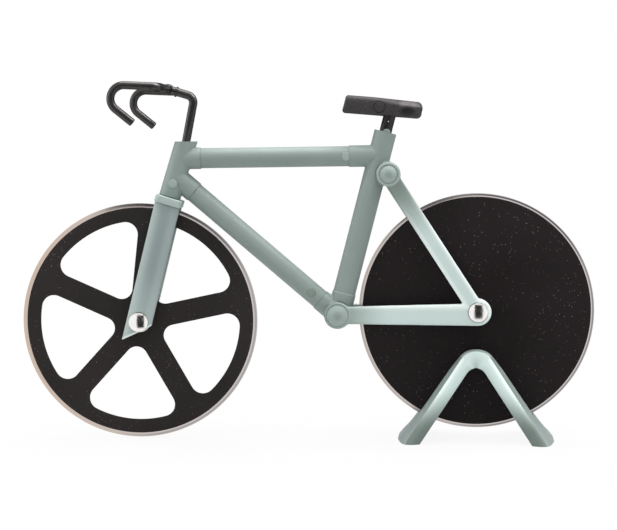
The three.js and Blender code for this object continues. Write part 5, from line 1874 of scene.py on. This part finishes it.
class CUTTER_OT_stage(bpy.types.Operator):
    """Make the camera, the lamps, the white surround and the floor"""

    bl_idname = "cutter.stage"
    bl_label = "Stage"

    flag_depth = 70 * MM
    lamp_aim = Vector((0, 0, 0.06))

    def execute(self, context):
        stage = context.scene.cutter_stage
        context.scene.view_settings.view_transform = "Standard"
        self.camera(context, stage)
        self.surround(context, stage)
        self.lamp("overhead_lamp", Vector((0.02, 0.05, 0.95)), width=0.9, power=stage.key)
        self.lamp("left_lamp", Vector((-1.0, 0.05, 0.35)), width=0.7, power=stage.left)
        self.lamp("right_lamp", Vector((0.8, 0.1, 0.7)), width=0.8, power=stage.right)
        self.floor()
        flags = (
            ("front_flag", FRONT_AXLE + Vector((10, -4)) * MM, (0.05, 0.098), 0.03),
            ("rear_flag", REAR_AXLE + Vector((9, -2)) * MM, (0.057, 0.107), 0.03),
            ("bar_flag", HEAD_TOP + Vector((29, 19)) * MM, (0.16, 0.053), 0.15),
        )
        for name, spot, extent, shade in flags:
            self.dark_card(name, place(spot, self.flag_depth), extent, -NEAR, shade)
        self.dark_card("back_card", Vector((0, 0.1, 0.12)), (0.9, 0.5), NEAR, shade=0.1)
        self.bright_card(Vector((0.5, -0.1, 0.8)), width=0.4, strength=stage.streak)
        return {"FINISHED"}

    def camera(self, context, stage):
        camera = bpy.data.cameras.new("camera")
        camera.lens = stage.lens
        camera.sensor_width = 36
        camera.sensor_fit = "HORIZONTAL"
        camera.clip_start = 0.01
        camera.clip_end = 20
        context.scene.camera = self.hung(camera, Vector(stage.eye), Vector(stage.aim))

    def hung(self, data, spot, aim):
        """An object for a camera or a lamp, at a spot and looking at a point."""
        holder = bpy.data.objects.new(data.name, data)
        bpy.context.scene.collection.objects.link(holder)
        holder.location = spot
        holder.rotation_euler = (aim - spot).to_track_quat("-Z", "Y").to_euler()
        return holder

    def seen_directly(self, tree):
        """1 for rays from the camera, mirrors and glass, and 0 for rays that light the object."""
        path = tree.nodes.new("ShaderNodeLightPath")
        seen = math_node(tree, "MAXIMUM", path.outputs["Is Camera Ray"], path.outputs["Is Glossy Ray"])
        return math_node(tree, "MAXIMUM", seen, path.outputs["Is Transmission Ray"])

    def surround(self, context, stage):
        world = bpy.data.worlds.new("white_surround")
        world.use_nodes = True
        context.scene.world = world
        tree = world.node_tree
        light = tree.nodes["Background"]
        light.inputs["Color"].default_value = (1, 1, 1, 1)
        seen = self.seen_directly(tree)
        tree.links.new(map_range(tree, seen, 0.0, 1.0, stage.surround, 1.0), light.inputs["Strength"])

    def lamp(self, name, spot, width, power):
        lamp = bpy.data.lights.new(name, "AREA")
        lamp.shape = "DISK"
        lamp.size = width
        lamp.energy = power
        self.hung(lamp, spot, self.lamp_aim)

    def floor(self):
        bpy.ops.object.select_all(action="DESELECT")
        bpy.ops.mesh.primitive_plane_add(size=8)
        floor = bpy.context.object
        floor.name = "floor"
        finish = Finish("white_floor", Roughness=0.9, Base_Color=(0.5, 0.5, 0.5, 1))
        tree = finish.tree
        glow = add_node(tree, "ShaderNodeEmission", None, Strength=1.0)
        blend = tree.nodes.new("ShaderNodeMixShader")
        white = map_range(tree, finish.past((0, 0, 0), 0.05, 0.22), 0.0, 1.0, 0.9, 1.0)
        tree.links.new(math_node(tree, "MULTIPLY", self.seen_directly(tree), white), blend.inputs[0])
        tree.links.new(finish.shader.outputs["BSDF"], blend.inputs[1])
        tree.links.new(glow.outputs["Emission"], blend.inputs[2])
        tree.links.new(blend.outputs["Shader"], tree.nodes["Material Output"].inputs["Surface"])
        floor.data.materials.append(finish.material)

    def card(self, name, spot, extent, facing):
        """A card that only glossy surfaces see."""
        bpy.ops.object.select_all(action="DESELECT")
        turn = facing.to_track_quat("Z", "Y").to_euler()
        bpy.ops.mesh.primitive_plane_add(size=1, location=spot, rotation=turn)
        card = bpy.context.object
        card.name = name
        card.scale = (*extent, 1)
        card.visible_camera = False
        card.visible_diffuse = False
        card.visible_shadow = False
        return card

    def dark_card(self, name, spot, extent, facing, shade):
        """A dull card that darkens what the blades, the rods and the rivets mirror."""
        finish = Finish(name, Roughness=0.9, Base_Color=(shade, shade, shade, 1), Specular_IOR_Level=0.0)
        self.card(name, spot, extent, facing).data.materials.append(finish.material)

    def bright_card(self, spot, width, strength):
        """A glowing card, turned to the object, that draws streaks on the rods."""
        finish = Finish("bright_card", Emission_Strength=strength, Emission_Color=(1, 1, 1, 1))
        self.card("bright_card", spot, (width, width), -spot).data.materials.append(finish.material)


PIECE_OPERATORS = (
    CUTTER_OT_blades,
    CUTTER_OT_axles,
    CUTTER_OT_lugs,
    CUTTER_OT_tubes,
    CUTTER_OT_fork,
    CUTTER_OT_arms,
    CUTTER_OT_bar,
    CUTTER_OT_saddle,
    CUTTER_OT_stand,
    CUTTER_OT_stage,
)

SETTINGS = {
    "cutter_blades": CutterBlades,
    "cutter_frame": CutterFrame,
    "cutter_bar": CutterBar,
    "cutter_saddle": CutterSaddle,
    "cutter_stand": CutterStand,
    "cutter_stage": CutterStage,
}


class CUTTER_PT_panel(bpy.types.Panel):
    """Sidebar panel with a button for each group of pieces and the settings below"""

    bl_idname = "CUTTER_PT_panel"
    bl_label = "Pizza Cutter"
    bl_space_type = "VIEW_3D"
    bl_region_type = "UI"
    bl_category = "Cutter"

    def draw(self, context):
        for operator in PIECE_OPERATORS:
            self.layout.operator(operator.bl_idname)
        for name, group in SETTINGS.items():
            box = self.layout.box()
            for label in group.__annotations__:
                box.prop(getattr(context.scene, name), label)


def register():
    for group in SETTINGS.values():
        bpy.utils.register_class(group)
    for operator in PIECE_OPERATORS:
        bpy.utils.register_class(operator)
    bpy.utils.register_class(CUTTER_PT_panel)
    for name, group in SETTINGS.items():
        setattr(bpy.types.Scene, name, PointerProperty(type=group))


def unregister():
    for name in SETTINGS:
        delattr(bpy.types.Scene, name)
    bpy.utils.unregister_class(CUTTER_PT_panel)
    for operator in reversed(PIECE_OPERATORS):
        bpy.utils.unregister_class(operator)
    for group in SETTINGS.values():
        bpy.utils.unregister_class(group)


def main():
    register()
    bpy.ops.cutter.blades()
    bpy.ops.cutter.axles()
    bpy.ops.cutter.lugs()
    bpy.ops.cutter.tubes()
    bpy.ops.cutter.fork()
    bpy.ops.cutter.arms()
    bpy.ops.cutter.bar()
    bpy.ops.cutter.saddle()
    bpy.ops.cutter.stand()
    bpy.ops.cutter.stage()
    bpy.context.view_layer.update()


if __name__ == "__main__":
    main()
